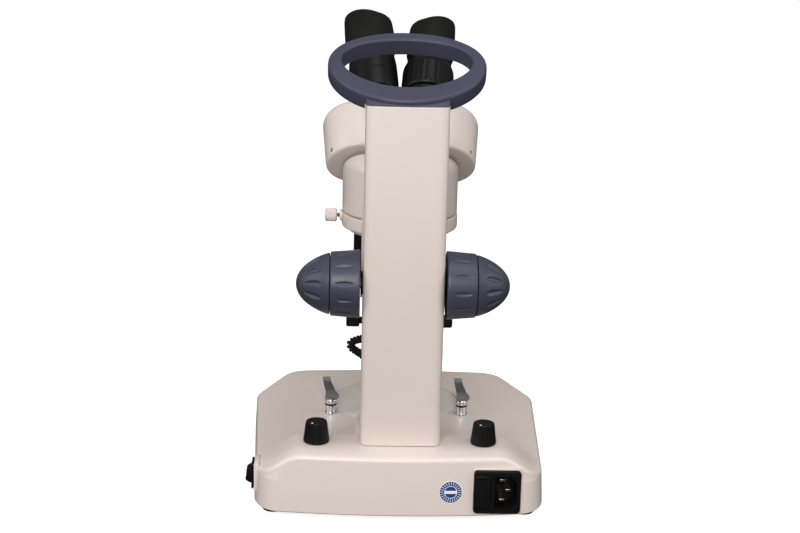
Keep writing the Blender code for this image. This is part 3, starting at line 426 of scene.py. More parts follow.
def lathe(name, profile, place=None, steps=96, hollow=False, relief=None):
    """Turns (radius, height) points about local Z. relief(angle, height) is taken off each radius."""
    rows = []
    for radius, height in profile:
        row = []
        for k in range(steps):
            angle = 2 * pi * k / steps
            r = max(radius - (relief(angle, height) if relief else 0.0), 0.00002)
            row.append((r * cos(angle), r * sin(angle), height))
        rows.append(row)
    return skinned(name, rows, place, closed=hollow)


def rod(name, radius, low, high, place=None, steps=48, edge=0.0):
    profile = [(radius, low), (radius, high)]
    if edge:
        profile = [(radius - edge, low), (radius, low + edge), (radius, high - edge), (radius - edge, high)]
    return lathe(name, profile, place, steps)


def extruded(name, outline, low, high, place=None):
    return skinned(name, [[(x, y, z) for x, y in outline] for z in (low, high)], place)


def block(name, low, high, edge=0.0):
    middle, half = (Vector(low) + Vector(high)) / 2, (Vector(high) - Vector(low)) / 2
    corners = [(-half.x, -half.y), (half.x, -half.y), (half.x, half.y), (-half.x, half.y)]
    thing = extruded(name, corners, -half.z, half.z, upright(*middle))
    return bevelled(thing, edge, 3) if edge else thing


def settled(thing):
    """Puts what the modifiers make into the mesh, and drops them."""
    graph = bpy.context.evaluated_depsgraph_get()
    graph.update()
    mesh = bpy.data.meshes.new_from_object(thing.evaluated_get(graph))
    old = thing.data
    thing.modifiers.clear()
    thing.data = mesh
    bpy.data.meshes.remove(old)
    return thing


def bevelled(thing, width, segments=3, angle=32):
    edge = thing.modifiers.new("edge", "BEVEL")
    edge.width, edge.segments = width, segments
    edge.limit_method, edge.angle_limit = "ANGLE", radians(angle)
    edge.miter_outer = "MITER_ARC"
    return settled(thing)


def combined(thing, operation, others):
    for other in others:
        step = thing.modifiers.new("join", "BOOLEAN")
        step.operation, step.object, step.solver = operation, other, "EXACT"
        settled(thing)
        bpy.data.objects.remove(other, do_unlink=True)
    return thing


def cut(thing, *others):
    return combined(thing, "DIFFERENCE", others)


def fuse(thing, *others):
    return combined(thing, "UNION", others)


def joined(thing, *others):
    """Puts the meshes of others into thing's, each with its own material."""
    shape = bmesh.new()
    shape.from_mesh(thing.data)
    for other in others:
        mesh = other.data
        shift = len(thing.data.materials)
        for material in mesh.materials:
            thing.data.materials.append(material)
        start = len(shape.faces)
        shape.from_mesh(mesh)
        shape.faces.ensure_lookup_table()
        for face in shape.faces[start:]:
            face.material_index += shift
        bpy.data.objects.remove(other, do_unlink=True)
    shape.to_mesh(thing.data)
    shape.free()
    return thing


def painted(thing, finish):
    thing.data.materials.clear()
    thing.data.materials.append(MATERIALS[finish])
    for polygon in thing.data.polygons:
        polygon.material_index = 0
    return thing


def smoothed(thing, angle=32):
    thing.data.shade_smooth()
    thing.data.set_sharp_from_angle(angle=radians(angle))
    return thing


def piece(thing, body, finish, *nodes, slot=None, angle=32):
    """A finished piece: painted, smooth, riding on its body and standing for its CAD nodes."""
    if finish:
        painted(thing, finish)
    smoothed(thing, angle)
    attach(thing, body)
    if nodes:
        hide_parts(*nodes)
    return thing


def scallops(count, depth, low, high, share, phase=0.0):
    """Lens-shaped hollows round a turned piece, between two heights."""
    period = 2 * pi / count

    def relief(angle, height):
        t = (2 * height - low - high) / (high - low)
        if abs(t) >= 1:
            return 0.0
        width = share * period / 2 * sqrt(1 - t * t)
        off = (angle - phase + period / 2) % period - period / 2
        return depth * sqrt(1 - t * t) * max(0.0, 1 - (off / width) ** 2)

    return relief


def ribs(count, depth, low, high):
    def relief(angle, height):
        if not low <= height <= high:
            return 0.0
        return depth * (0.5 - 0.5 * cos(count * angle)) ** 0.7

    return relief


def stations(low, high, count):
    return [low + (high - low) * i / count for i in range(count + 1)]


# ---------------------------------------------------------------- the lamp's curly cord

CORD_ROUTE = [
    (0.0180, 0.0450, 0.1432),
    (0.0180, 0.0450, 0.1360),
    (0.0178, 0.0450, 0.1250),
    (0.0190, 0.0446, 0.1140),
    (0.0238, 0.0436, 0.1050),
    (0.0300, 0.0424, 0.1026),
    (0.0344, 0.0416, 0.0998),
    (0.0336, 0.0412, 0.0962),
    (0.0288, 0.0410, 0.0928),
    (0.0225, 0.0410, 0.0882),
    (0.0160, 0.0411, 0.0838),
    (0.0100, 0.0423, 0.0792),
    (0.0066, 0.0458, 0.0764),
    (0.0060, 0.0501, 0.0758),
]
STRAND_RADIUS, COIL_RADIUS, COIL_PITCH, POINTS_A_TURN = 0.0013, 0.0017, 0.0022, 16


def smooth_route(points, between):
    """Points on a Catmull-Rom curve through the route's own points."""
    points = [Vector(point) for point in points]
    ends = [2 * points[0] - points[1]] + points + [2 * points[-1] - points[-2]]
    curve = []
    for a, b, c, d in zip(ends, ends[1:], ends[2:], ends[3:]):
        for i in range(between):
            t = i / between
            curve.append(
                0.5 * (
                    2 * b + (c - a) * t + (2 * a - 5 * b + 4 * c - d) * t**2 + (3 * b - a - 3 * c + d) * t**3
                )
            )
    return curve + [points[-1]]


def even(points, step):
    """The same line with points step apart."""
    out, left = [points[0]], 0.0
    for a, b in zip(points, points[1:]):
        run = (b - a).length
        at = step - left
        while at <= run:
            out.append(a.lerp(b, at / run))
            at += step
        left = run - (at - step)
    return out + [points[-1]]


def carried_frames(line):
    """(point, side, other side) down a line, turned as little as can be."""
    frames, side = [], None
    for i, point in enumerate(line):
        ahead = (line[min(i + 1, len(line) - 1)] - line[max(i - 1, 0)]).normalized()
        side = ahead.orthogonal() if side is None else side - ahead * side.dot(ahead)
        side.normalize()
        frames.append((point, side.copy(), ahead.cross(side)))
    return frames


def tube_along(name, line, radius, sides=8):
    rows = []
    for point, side, other in carried_frames(line):
        rows.append(
            [
                point + radius * (cos(2 * pi * k / sides) * side + sin(2 * pi * k / sides) * other)
                for k in range(sides)
            ]
        )
    return skinned(name, rows)


def make_cord():
    axis = even(smooth_route(CORD_ROUTE, 12), COIL_PITCH / POINTS_A_TURN)
    frames = carried_frames(axis)
    line = []
    lead = 2.4 * POINTS_A_TURN
    for i, (point, side, other) in enumerate(frames):
        turn = 2 * pi * i / POINTS_A_TURN
        grown = min(1.0, i / lead, (len(frames) - 1 - i) / lead)
        reach = COIL_RADIUS * grown * grown * (3 - 2 * grown)
        line.append(point + reach * (cos(turn) * side + sin(turn) * other))
    thing = painted(tube_along("lamp_cord", line, STRAND_RADIUS), "rubber")
    smoothed(thing, 60)
    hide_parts("lamp_cable")
    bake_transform(thing)
    for name, body, wide, middle, narrow, reach, place in (
        ("lower", "stand", 0.0033, 0.0031, 0.0018, 0.0046, along((0.0060, 0.0536, 0.0758), (0, -1, 0))),
        ("upper", "carriage", 0.0032, 0.0029, 0.0017, 0.0050, along((0.0180, 0.0450, 0.1434), (0, 0, -1))),
    ):
        profile = [(0.0014, 0.0), (wide, 0.0), (middle, 0.0022), (narrow, reach), (0.0014, reach)]
        sleeve = lathe(f"{name}_cord_sleeve", soft(profile, 0.0004, 3, True), place, 32, hollow=True)
        piece(sleeve, body, "rubber")


# ---------------------------------------------------------------- base


def rear_wall(x):
    return REAR_Y - x * x / (2 * REAR_BOW_RADIUS)


def base_outline():
    """The footprint, anticlockwise from the front left corner, with its corners rounded."""
    half = REAR_HALF - REAR_CORNER[0]
    corner_y = rear_wall(half) - REAR_CORNER[1]
    start = (0.0, FRONT_CORNER[1] - FRONT_BOW, 0.0)
    line = [start, (*FRONT_CORNER, FRONT_REACH), (*SIDE_CORNER, SIDE_REACH), (REAR_HALF, corner_y, 0)]
    right = soft(line, 0, 10)[1:-1]
    right += arc((half, corner_y), REAR_CORNER, 0, 90, 14)
    rear = [(x, rear_wall(x)) for x in stations(half, -half, 24)[1:-1]]
    return right + rear + [(-x, y) for x, y in reversed(right)] + [start[:2]]


def level(outline, scale, z):
    return [(x * scale, OUTLINE_MIDDLE_Y + (y - OUTLINE_MIDDLE_Y) * scale, z) for x, y in outline]


def wall_scale(z):
    return 1 - 0.010 * (z - SHELL_BOTTOM) / (SIDE_TOP - SHELL_BOTTOM)


def raised_top(x):
    run = max((abs(x) - RAISED_FLAT_HALF) / RAISED_END_RUN, 0.0)
    return RAISED_TOP - RAISED_END_DROP * run * run * (3 - 2 * run)


def raised_section():
    half = REAR_HALF - REAR_CORNER[0]
    rows = []
    for x in stations(-RAISED_END_HALF, RAISED_END_HALF, 62):
        corner = max(abs(x) - half, 0.0) / REAR_CORNER[0]
        edge = rear_wall(x) - REAR_CORNER[1] * (1 - sqrt(1 - corner**2)) - OUTLINE_MIDDLE_Y
        top = raised_top(x)

        def wall(z):
            return OUTLINE_MIDDLE_Y + edge * wall_scale(z) + 0.00003

        line = [
            (wall(0.010), 0.010, 0), (wall(top - 0.0018), top - 0.0018, 0.0030),
            (wall(top) - 0.0105, top, 0.0040)
        ]
        line = soft(line + [(RAISED_FRONT, top, 0.0012)], 0, 7)
        rows.append([(x, y, z) for y, z in line + [(RAISED_FRONT, top), (RAISED_FRONT, 0.010)][1:]])
    return skinned("rise", rows)


def make_base():
    outline = base_outline()
    section = soft(
        [(0.992, SHELL_BOTTOM, 0), (1.0, SHELL_BOTTOM + 0.0008, 0.0006), (0.990, SIDE_TOP, 0)], 0, 6
    )
    section += arc((0.964, SIDE_TOP), (0.026, DECK_TOP - SIDE_TOP), 9, 90, 9) + [(0.900, DECK_TOP)]
    shell = skinned("base_cover", [level(outline, scale, z) for scale, z in section])
    socket = block("socket", (-0.030, 0.028, 0.026), (0.030, RAISED_FRONT + 0.002, 0.043), 0.0035)
    pad = block(
        "switch_pad",
        (SWITCH.x - 0.0035, SWITCH.y - 0.0088, SWITCH.z - 0.0100),
        (SWITCH.x, SWITCH.y + 0.0088, SWITCH.z + 0.0098),
        0.0008,
    )
    fuse(shell, raised_section(), socket, pad)
    inside = skinned(
        "inside", [level(outline, s, z) for s, z in ((0.955, 0.0), (0.945, 0.024), (0.880, DECK_UNDERSIDE))]
    )
    rear_inside = block(
        "rear_inside", (-0.065, RAISED_FRONT + 0.004, 0.020), (0.065, 0.1150, RAISED_TOP - 0.003)
    )
    seat = block(
        "seat",
        (INLET_X - INLET_HALF[0] - 0.0004, 0.108, 0.0080),
        (INLET_X + INLET_HALF[0] + 0.0004, INLET_SEAT + 0.0010, INLET_Z + INLET_HALF[1] + 0.0004),
    )
    cut(shell, inside, rear_inside)
    fuse(shell, seat)
    frame_cut = extruded(
        "flange_recess",
        rounded_box(INLET_HALF[0] + 0.00025, INLET_HALF[1] + 0.00025, 0.0028, 6),
        INLET_SEAT,
        0.135,
        along((INLET_X, 0, INLET_Z), (0, 1, 0)),
    )
    cut(
        shell,
        block(
            "inlet_hole", (INLET_X - 0.0145, 0.090, INLET_Z - 0.0140),
            (INLET_X + 0.0155, 0.130, INLET_Z + 0.0140)
        ),
        frame_cut,
        block(
            "switch_hole",
            (SWITCH.x - 0.024, SWITCH.y - 0.0063, SWITCH.z - 0.0075),
            (SWITCH.x + 0.010, SWITCH.y + 0.0063, SWITCH.z + 0.0075),
        ),
        rod("stage_hole", STAGE_RADIUS - 0.002, 0.0, 0.060, OPTICAL_AXIS, 96),
        rod("stage_seat", STAGE_RADIUS + GAP, 0.0278, 0.0600, OPTICAL_AXIS, 96),
    )
    for side in (-1, 1):
        cut(shell, rod("dial_hole", 0.0038, 0.030, 0.060, upright(side * DIAL_X, DIAL_Y)))
        cut(shell, rod("clip_hole", 0.0033, 0.020, 0.050, upright(side * CLIP_X, CLIP_Y)))
    piece(shell, "stand", "cream", "base_shell", angle=28)

    plate = skinned(
        "base_tray",
        [
            level(outline, s, z) for s,
            z in ((0.958, 0.0038), (0.965, 0.0041), (0.965, 0.0047), (0.962, 0.0048))
        ],
    )
    piece(plate, "stand", "plate", "base_plate")
    for end, x, y in (("rear", 0.0852, 0.1002), ("front", 0.0700, -0.0850)):
        for side, name in SIDES:
            foot = lathe(
                f"{end}_{name}_rubber_foot",
                soft(
                    [
                        (0.0030, 0.0004, 0), (0.0045, 0.0, 0.0004), (0.0072, 0.0, 0.0007),
                        (0.0079, 0.0014, 0.0004)
                    ]
                    + [(0.0084, 0.0018, 0.0003), (0.0085, 0.0034, 0.0003), (0.0060, 0.0035, 0)],
                    0.0004,
                ),
                upright(side * x, y),
                48,
            )
            piece(foot, "stand", "rubber", f"{end}_{name}_foot", angle=50)


def make_stage():
    profile = [(0.030, 0.0281, 0), (STAGE_RADIUS, 0.0281), (STAGE_RADIUS, DECK_TOP), (0.030, DECK_TOP, 0)]
    glass = lathe("stage_plate", soft(profile, 0.0005, 3), OPTICAL_AXIS, 96)
    piece(glass, "stand", "frosted", "stage_glass")


# ---------------------------------------------------------------- pillar and handle


def make_pillar():
    outline = rounded_box(PILLAR_HALF, PILLAR_DEPTH / 2, PILLAR_CORNER, 12)
    low, high = RAISED_TOP + GAP, PILLAR_TOP - GAP

    def ring(inset, z):
        scale_x, scale_y = 1 - inset / PILLAR_HALF, 1 - inset / (PILLAR_DEPTH / 2)
        return [(x * scale_x, y * scale_y, z) for x, y in outline]

    levels = [(0.0006, low), (0.0001, low + 0.0003), (0.0, low + 0.0008), (0.0, high - 0.0008)]
    levels += [(0.0001, high - 0.0003), (0.0006, high)]
    column = skinned("pillar_column", [ring(inset, z) for inset, z in levels], upright(0, PILLAR_MIDDLE))
    inner = rounded_box(
        PILLAR_HALF - PILLAR_WALL, PILLAR_DEPTH / 2 - PILLAR_WALL, PILLAR_CORNER - PILLAR_WALL, 6
    )
    hollow = extruded("hollow", inner, 0.0, 0.273, upright(0, PILLAR_MIDDLE))
    slot_outline = rounded_box(0.012, 0.084, 0.004, 6, (0.0, 0.174))
    slot = extruded("slot", slot_outline, -0.070, -0.040, along((0, 0, 0), (0, -1, 0)))
    across = facing_x((0, DRIVE_Y, DRIVE_Z))
    cut(column, hollow, slot, rod("bushes", 0.0073, -0.05, 0.05, across))
    piece(column, "stand", "cream", "pillar", angle=28)


def egg_drop(x, half_width):
    """How far the ring's sides lie ahead of a plain oval, which makes it an egg shape."""
    return HANDLE_EGG * (x / half_width) ** 2


def make_handle():
    """An egg-shaped ring of rounded section that rises forward from a cap on the pillar."""
    tilt = Matrix.Rotation(-HANDLE_TILT, 4, "X")
    near_top = Vector((0, PILLAR_REAR, HANDLE_NEAR_TOP))
    place = Matrix.Translation(near_top + tilt @ Vector((0, -HANDLE_OUTER[1], -HANDLE_THICKNESS / 2))) @ tilt
    half = HANDLE_THICKNESS / 2
    rows = []
    for k in range(144):
        angle = 2 * pi * k / 144
        drop = egg_drop(cos(angle), 1)
        outer = Vector((HANDLE_OUTER[0] * cos(angle), HANDLE_OUTER[1] * sin(angle) - drop))
        inner = Vector((HANDLE_HOLE[0] * cos(angle), HANDLE_HOLE[1] * sin(angle) - HANDLE_HOLE_SHIFT - drop))
        wide = (outer - inner).length
        section = soft(
            [(0, -half, 0.0020), (wide, -half, 0.0030), (wide, half, 0.0030), (0, half, 0.0020)], 0, 6,
            closed=True
        )
        out = (outer - inner).normalized()
        rows.append([(inner.x + out.x * run, inner.y + out.y * run, z) for run, z in section])
    ring = skinned("carrying_handle", rows, place, closed=True)
    steps = 12
    outline = rounded_box(PILLAR_HALF, PILLAR_DEPTH / 2, PILLAR_CORNER, steps)
    front = [(PILLAR_HALF, 0.010), (-PILLAR_HALF, 0.010)] + outline[2 * steps + 2 :]
    cap = extruded("cap", front, PILLAR_TOP, PILLAR_TOP + HANDLE_CAP, upright(0, PILLAR_MIDDLE))
    # The wall under the ring's rear edge runs down to the pillar's outline.
    edge = outline[: 2 * steps + 2]
    flat = PILLAR_HALF - PILLAR_CORNER
    middle = [(flat - flat * k / 8, PILLAR_DEPTH / 2) for k in range(1, 16)]
    rear = [(PILLAR_HALF, 0.004)] + edge[: steps + 1] + middle + edge[steps + 1 :] + [(-PILLAR_HALF, 0.004)]
    rows = []
    for share in (0.0, 0.5, 1.0):
        row = []
        for x, y in rear:
            reach = HANDLE_OUTER[1] * sqrt(
                1 - (x / HANDLE_OUTER[0]) ** 2
            ) - 0.0001 - egg_drop(x, HANDLE_OUTER[0])
            low = Vector((x, y + PILLAR_MIDDLE, PILLAR_TOP - 0.002))
            high = place @ Vector(
                (x, reach - 0.009, half - 0.003) if y < 0.005 else (x, reach, half - 0.0030)
            )
            row.append(low.lerp(high, share))
        rows.append(row)
    fuse(ring, cap, skinned("skirt", rows))
    space = block("space", (-0.0276, PILLAR_FRONT - 0.001, 0.200), (0.0276, PILLAR_REAR + 0.002, PILLAR_TOP))
    cut(ring, space)
    piece(ring, "stand", "handle", "carry_handle", angle=38)


# ---------------------------------------------------------------- focus drive


def make_focus_drive():
    for side, name in SIDES:
        place = facing_x((0, DRIVE_Y, DRIVE_Z), side)
        phase = radians(15) if side > 0 else 0.0
        low, high = KNOB_INNER, KNOB_SEAM - GAP
        taper = (KNOB_SEAM_RADIUS - KNOB_RADIUS) / (high - low)
        ring = [(KNOB_BORE, low), (KNOB_RADIUS - 0.0010, low), (KNOB_RADIUS - 0.0003, low + 0.0002)]
        ring += [(KNOB_RADIUS, low + 0.0007)]
        ring += [(KNOB_RADIUS + taper * (z - low), z) for z in stations(low + 0.0018, high - 0.0007, 34)]
        ring += [
            (KNOB_SEAM_RADIUS - 0.0004, high - 0.0002), (KNOB_SEAM_RADIUS - 0.0012, high), (KNOB_BORE, high)
        ]
        thing = lathe(
            f"{name}_focus_knob_ring", ring, place, 384, hollow=True,
            relief=scallops(SCALLOPS, 0.0008, low + 0.0045, high - 0.0035, 0.26, phase),
        )
        piece(thing, "focus_drive", "knob", f"{name}_knob_ring", angle=40)
        length = KNOB_TIP - KNOB_SEAM
        dome = [(NOSE_RADIUS - 0.0007, 0.0), (NOSE_RADIUS - 0.0002, 0.0002)]
        shares = stations(0.02, 0.80, 36) + [0.83, 0.86, 0.89, 0.92, 0.945, 0.965, 0.98, 0.99, 0.996]
        dome += [(NOSE_RADIUS * (1 - t**1.3) ** 0.48, length * t) for t in shares] + [(0.0006, length)]
        nose = lathe(
            f"{name}_focus_knob_nose", [(KNOB_BORE, 0.0)] + dome,
            facing_x((side * KNOB_SEAM, DRIVE_Y, DRIVE_Z), side), 384,
            relief=scallops(SCALLOPS, 0.0015, 0.0054, 0.0167, 0.50, phase),
        )
        piece(nose, "focus_drive", "knob", f"{name}_knob_nose", angle=40)
        bush = [(KNOB_BORE, 0.0230), (0.0069, 0.0230), (0.0069, 0.0273), (0.0090, 0.0273)]
        bush = soft(bush + [(0.0088, 0.0284), (KNOB_BORE, 0.0284)], 0.0002, 3, True)
        bush = lathe(f"{name}_drive_bush", bush, place, 64, hollow=True)
        piece(bush, "stand", "black", f"{name}_pinion_bush")


# ---------------------------------------------------------------- carriage and lamp


def make_carriage():
    rear = PILLAR_FRONT - 0.0008
    inside, rounding = AXIS_Y + 0.030, 0.004
    profile = [(rear, ARM_LOW - 0.002, 0), (rear, 0.2000, 0), (rear - 0.010, 0.2000, rounding)]
    profile += [(rear - 0.022, RING_HIGH - 0.0015, rounding), (inside, RING_HIGH - 0.0015, 0)]
    profile += [(inside, RING_LOW + 0.0015, 0), (0.016, RING_LOW - 0.001, rounding)]
    profile += [(0.028, ARM_LOW + 0.002, rounding), (0.034, ARM_LOW - 0.002, rounding)]
    outline = soft(profile, 0, 6, True)
    arm = extruded("head_holder", outline, -ARM_HALF, ARM_HALF, SIDE_VIEW)
    bevelled(arm, 0.0026, 5, 50)
    cut(arm, rod("ring_space", RING_INNER + 0.002, 0.140, 0.215, OPTICAL_AXIS, 96))
    edge = soft(
        [
            (RING_INNER, RING_LOW), (RING_OUTER, RING_LOW, 0.0036), (RING_OUTER, RING_HIGH),
            (RING_INNER, RING_HIGH)
        ],
        0.0008, 6, True,
    )
    ring = lathe("holder", edge, OPTICAL_AXIS, 144, hollow=True)
    sideways = facing_x((0, AXIS_Y, LOCK_Z))
    cut(ring, rod("lock_hole", 0.0019, 0.030, 0.050, sideways))
    tongue = block("tongue", (-0.0090, 0.0400, RACK_LOW), (0.0090, 0.0702, RACK_HIGH))
    fuse(arm, ring, tongue)
    piece(arm, "carriage", "cream", "holder_arm", angle=32)

    boss = lathe(
        "lock_boss",
        soft([(0.0023, 0.0425), (0.0042, 0.0425), (0.0040, 0.0440), (0.0023, 0.0442)], 0.0003, 3, True),
        sideways, 40, hollow=True,
    )
    piece(boss, "carriage", "cream")
    screw = lathe(
        "clamp_screw",
        [(0.0012, 0.0385), (0.0015, 0.0388)]
        + [(0.0015 - 0.00014 * (i % 2), 0.0390 + 0.00025 * i) for i in range(28)]
        + [(0.0015, 0.0465), (0.0015, 0.0530)],
        sideways, 32,
    )
    piece(screw, "lock", "steel", "lock_screw")
    start = RING_OUTER + 0.0034
    knob = [(0.0018, start, 0), (0.0036, start), (0.0049, start + 0.0008)]
    knob += [(0.0049, z, 0) for z in stations(start + 0.0016, start + 0.0076, 4)]
    knob += [(0.0047, start + 0.0084), (0.0030, start + 0.0088), (0.0018, start + 0.0086, 0)]
    thing = lathe(
        "clamp_knob", soft(knob, 0.0004, 3), sideways, 240, hollow=True,
        relief=ribs(30, 0.00028, start + 0.0012, start + 0.0080),
    )
    piece(thing, "lock", "cream", "lock_knob", angle=50)


def make_lamp():
    y, z = LAMP_PIVOT.y, LAMP_PIVOT.z
    top, half = ARM_LOW - 0.0024, LAMP_EAR + 0.002
    bracket = block("lamp_yoke", (-half, 0.0350, top - 0.004), (half, 0.0520, top), 0.0008)
    cut(bracket, block("tongue_space", (-0.0094, 0.0396, top - 0.010), (0.0094, 0.0600, top + 0.010)))
    ear = [(y - 0.006, z - 0.004), (y, z - 0.007), (y + 0.006, z - 0.005), (0.050, top - 0.006)]
    ear += [(0.050, top - 0.001), (0.038, top - 0.001), (y - 0.007, z + 0.004)]
    for side in (-1, 1):
        inner, outer = sorted((side * LAMP_EAR, side * half))
        plate = extruded(
            "ear", soft([(*point, 0.0035) for point in ear], 0, 6, True), inner, outer, SIDE_VIEW
        )
        fuse(bracket, bevelled(plate, 0.0003, 2, 60))
    across = facing_x(LAMP_PIVOT)
    cut(bracket, rod("holes", 0.0028, -0.05, 0.05, across))
    piece(bracket, "carriage", "black", "lamp_bracket")
    pivot = rod("lamp_axle", 0.0025, -0.030, 0.030, across)
    for side in (-1, 1):
        outward = facing_x(LAMP_PIVOT, side)
        cap = [(0.0015, 0.0285, 0), (0.0042, 0.0285), (0.0047, 0.0292)]
        cap += [(0.0047, s, 0) for s in stations(0.0300, 0.0362, 4)] + [
            (0.0047, 0.0370), (0.0040, 0.0380), (0.0015, 0.0380, 0)
        ]
        fuse(
            pivot, lathe("cap", soft(cap, 0.0004, 3), outward, 144, relief=ribs(24, 0.00025, 0.0296, 0.0368))
        )
    piece(pivot, "carriage", "black", "lamp_pivot", angle=45)
    down = along(LAMP_PIVOT, (0, -sin(LAMP_TILT), -cos(LAMP_TILT)))
    body = [(0.004, -0.014, 0), (0.0105, -0.014), (0.014, -0.0115)]
    for i in range(5):
        s = -0.0090 + 0.0030 * i
        groove = ((0.014, s), (0.0118, s + 0.0003), (0.0118, s + 0.0013), (0.014, s + 0.0016))
        body += [(*point, 0.0002) for point in groove]
    body += [(0.014, 0.006), (LAMP_RADIUS, 0.009), (LAMP_RADIUS, 0.024), (0.0158, 0.0243)]
    body += [(0.0145, 0.0240), (0.0145, 0.0105)]
    housing = lathe("lamp_shell", soft(body + [(0.004, 0.0100, 0)], 0.0006, 3), down, 96)
    fuse(housing, rod("trunnions", 0.006, -LAMP_EAR + 0.0006, LAMP_EAR - 0.0006, across, 64, 0.0003))
    cut(housing, rod("bore", 0.0029, -0.04, 0.04, across))
    piece(housing, "lamp", "black", "lamp_housing")
    lens = [(0.0138 * sin(a), 0.0172 + 0.0030 * (1 - cos(a))) for a in (radians(6 * k) for k in range(1, 16))]
    lens += [(0.0138, 0.0212), (0.0132, 0.0215), (0.0010, 0.0215)]
    piece(lathe("lamp_window", lens, down, 64), "lamp", "glass", "lamp_lens")


# ---------------------------------------------------------------- head and turret


def make_head():
    profile = [
        (0.004, SPIGOT_LOW, 0), (SPIGOT_RADIUS, SPIGOT_LOW, 0.0006), (SPIGOT_RADIUS, HEAD_LOW + 0.0006, 0)
    ]
    profile += [(*p, 0) for p in arc((HEAD_RADIUS - 0.0025, HEAD_LOW + 0.0025), (0.0025, 0.0025), -90, 0, 8)]
    top = arc((HEAD_RADIUS - 0.012, HEAD_TOP - 0.012), (0.012, 0.012), 0, 90, 16)
    body = lathe(
        "head_casting", soft(profile + [(*p, 0) for p in top] + [(0.004, HEAD_TOP, 0)], 0, 4), OPTICAL_AXIS,
        144
    )
    face = along((0, HOUSING_FOOT.y, HOUSING_FOOT.z), (0, -1, 1))
    slope = extruded("slope", rounded_box(0.08, 0.08, 0.01, 1), -0.0003, 0.10, face)
    cut(body, slope)
    bevelled(body, 0.0007, 3, 30)
    cut(body, rod("inside", 0.0330, 0.150, 0.186, OPTICAL_AXIS, 64))
    for side in (-1, 1):
        cut(body, rod("light_path", 0.0085, 0.180, 0.240, upright(side * 0.0240, AXIS_Y)))
    piece(body, "head", "cream", "head_body", angle=30)


def make_turret():
    profile = [(0.004, TURRET_LOW, 0), (0.0270, TURRET_LOW), (0.0290, TURRET_LOW + 0.002)]
    profile += [(0.0300, 0.138), (TURRET_RADIUS - 0.0006, 0.1415)]
    profile += [(TURRET_RADIUS, s, 0) for s in stations(0.1424, 0.1625, 5)]
    profile += [(TURRET_RADIUS - 0.0008, 0.1642), (0.0300, TURRET_TOP, 0.0002), (0.004, TURRET_TOP, 0)]
    turret = lathe(
        "objective_drum", soft(profile, 0.0006, 4), OPTICAL_AXIS, 360, relief=ribs(60, 0.0005, 0.1420, 0.1630)
    )
    for power, radius in OBJECTIVE_RADIUS.items():
        for side, name in SIDES:
            x, y = (side * OBJECTIVE_OFFSET, 0.0) if power == "low_power" else (0.0, side * OBJECTIVE_OFFSET)
            place = upright(x, AXIS_Y + y)
            well = [
                (radius + 0.0010, 0.110), (radius + 0.0010, 0.1263), (radius + GAP, 0.1272),
                (radius + GAP, 0.170)
            ]
            cut(turret, lathe("well", well, place, 64))
            lens = [
                (radius * sin(a), 0.1282 + 0.0012 * (1 - cos(a)))
                for a in (radians(9 * k) for k in range(1, 11))
            ]
            lens += [(radius, 0.1328), (radius - 0.0003, 0.1330), (0.0006, 0.1330)]
            piece(lathe(f"{name}_{power}_glass", lens, place, 48), "turret", "coated", f"{name}_{power}_lens")
    piece(turret, "turret", "satin", "objective_turret", angle=40)


# ---------------------------------------------------------------- prism housings and eyepieces


def housing_place(side):
    axis = (side * sin(HOUSING_SPLAY), -cos(HOUSING_SPLAY) / sqrt(2), cos(HOUSING_SPLAY) / sqrt(2))
    return along((side * HOUSING_FOOT.x, HOUSING_FOOT.y, HOUSING_FOOT.z), axis)


def eyepiece_place(side, lift=0.0):
    return housing_place(side) @ Matrix.Translation(
        (side * EYEPIECE_SHIFT[0], EYEPIECE_SHIFT[1], EYEPIECE_SHIFT[2] + lift)
    )


def make_prism_housing(side, name):
    place, body = housing_place(side), f"{name}_eyetube"
    lean = HOUSING_RADIUS * sin(HOUSING_SPLAY) + GAP
    end = arc(
        (HOUSING_RADIUS - HOUSING_ROUND, HOUSING_LENGTH - HOUSING_ROUND), (HOUSING_ROUND,) * 2, 0, 90, 16
    )
    profile = [(0.003, lean, 0), (HOUSING_RADIUS, lean, 0.0030)]
    profile += [(*p, 0) for p in end] + [(0.003, HOUSING_LENGTH, 0)]
    housing = lathe(f"{name}_prism_case", soft(profile, 0, 5), place, 144)
    eye = eyepiece_place(side)
    neck = [
        (0.010, NECK_START, 0), (NECK_RADIUS, NECK_START, 0.0006), (NECK_RADIUS, NECK_END - 0.0004, 0.0005)
    ]
    neck += [(NECK_RADIUS - 0.0008, NECK_END, 0.0003), (0.010, NECK_END, 0)]
    fuse(housing, lathe("neck", soft(neck, 0, 4), eye, 96))
    screw_turn = Matrix.Rotation(radians(90 - side * 56), 4, "Z")
    screw_place = place @ screw_turn @ facing_x((HOUSING_RADIUS, 0, lean + 0.0044))
    cut(
        housing,
        rod("prism_space", 0.0215, lean + 0.0025, 0.0405, place, 64),
        rod("light_port", 0.0100, -0.005, lean + 0.004, place, 48),
        rod("eye_bore", 0.0151, NECK_START + 0.001, 0.070, eye, 64),
        rod("screw_hole", 0.0016, -0.0032, 0.003, screw_place, 32),
    )
    piece(housing, body, "cream", f"{name}_prism_housing", angle=30)
    grub = [(0.0003, -0.0022, 0), (0.0003, -0.0008, 0), (0.0008, -0.0008, 0), (0.0014, -0.0008)]
    grub += [(0.0015, -0.0011), (0.0015, -0.0022, 0)]
    piece(lathe(f"{name}_case_set_screw", soft(grub, 0.0001, 2), screw_place, 24), body, "satin")


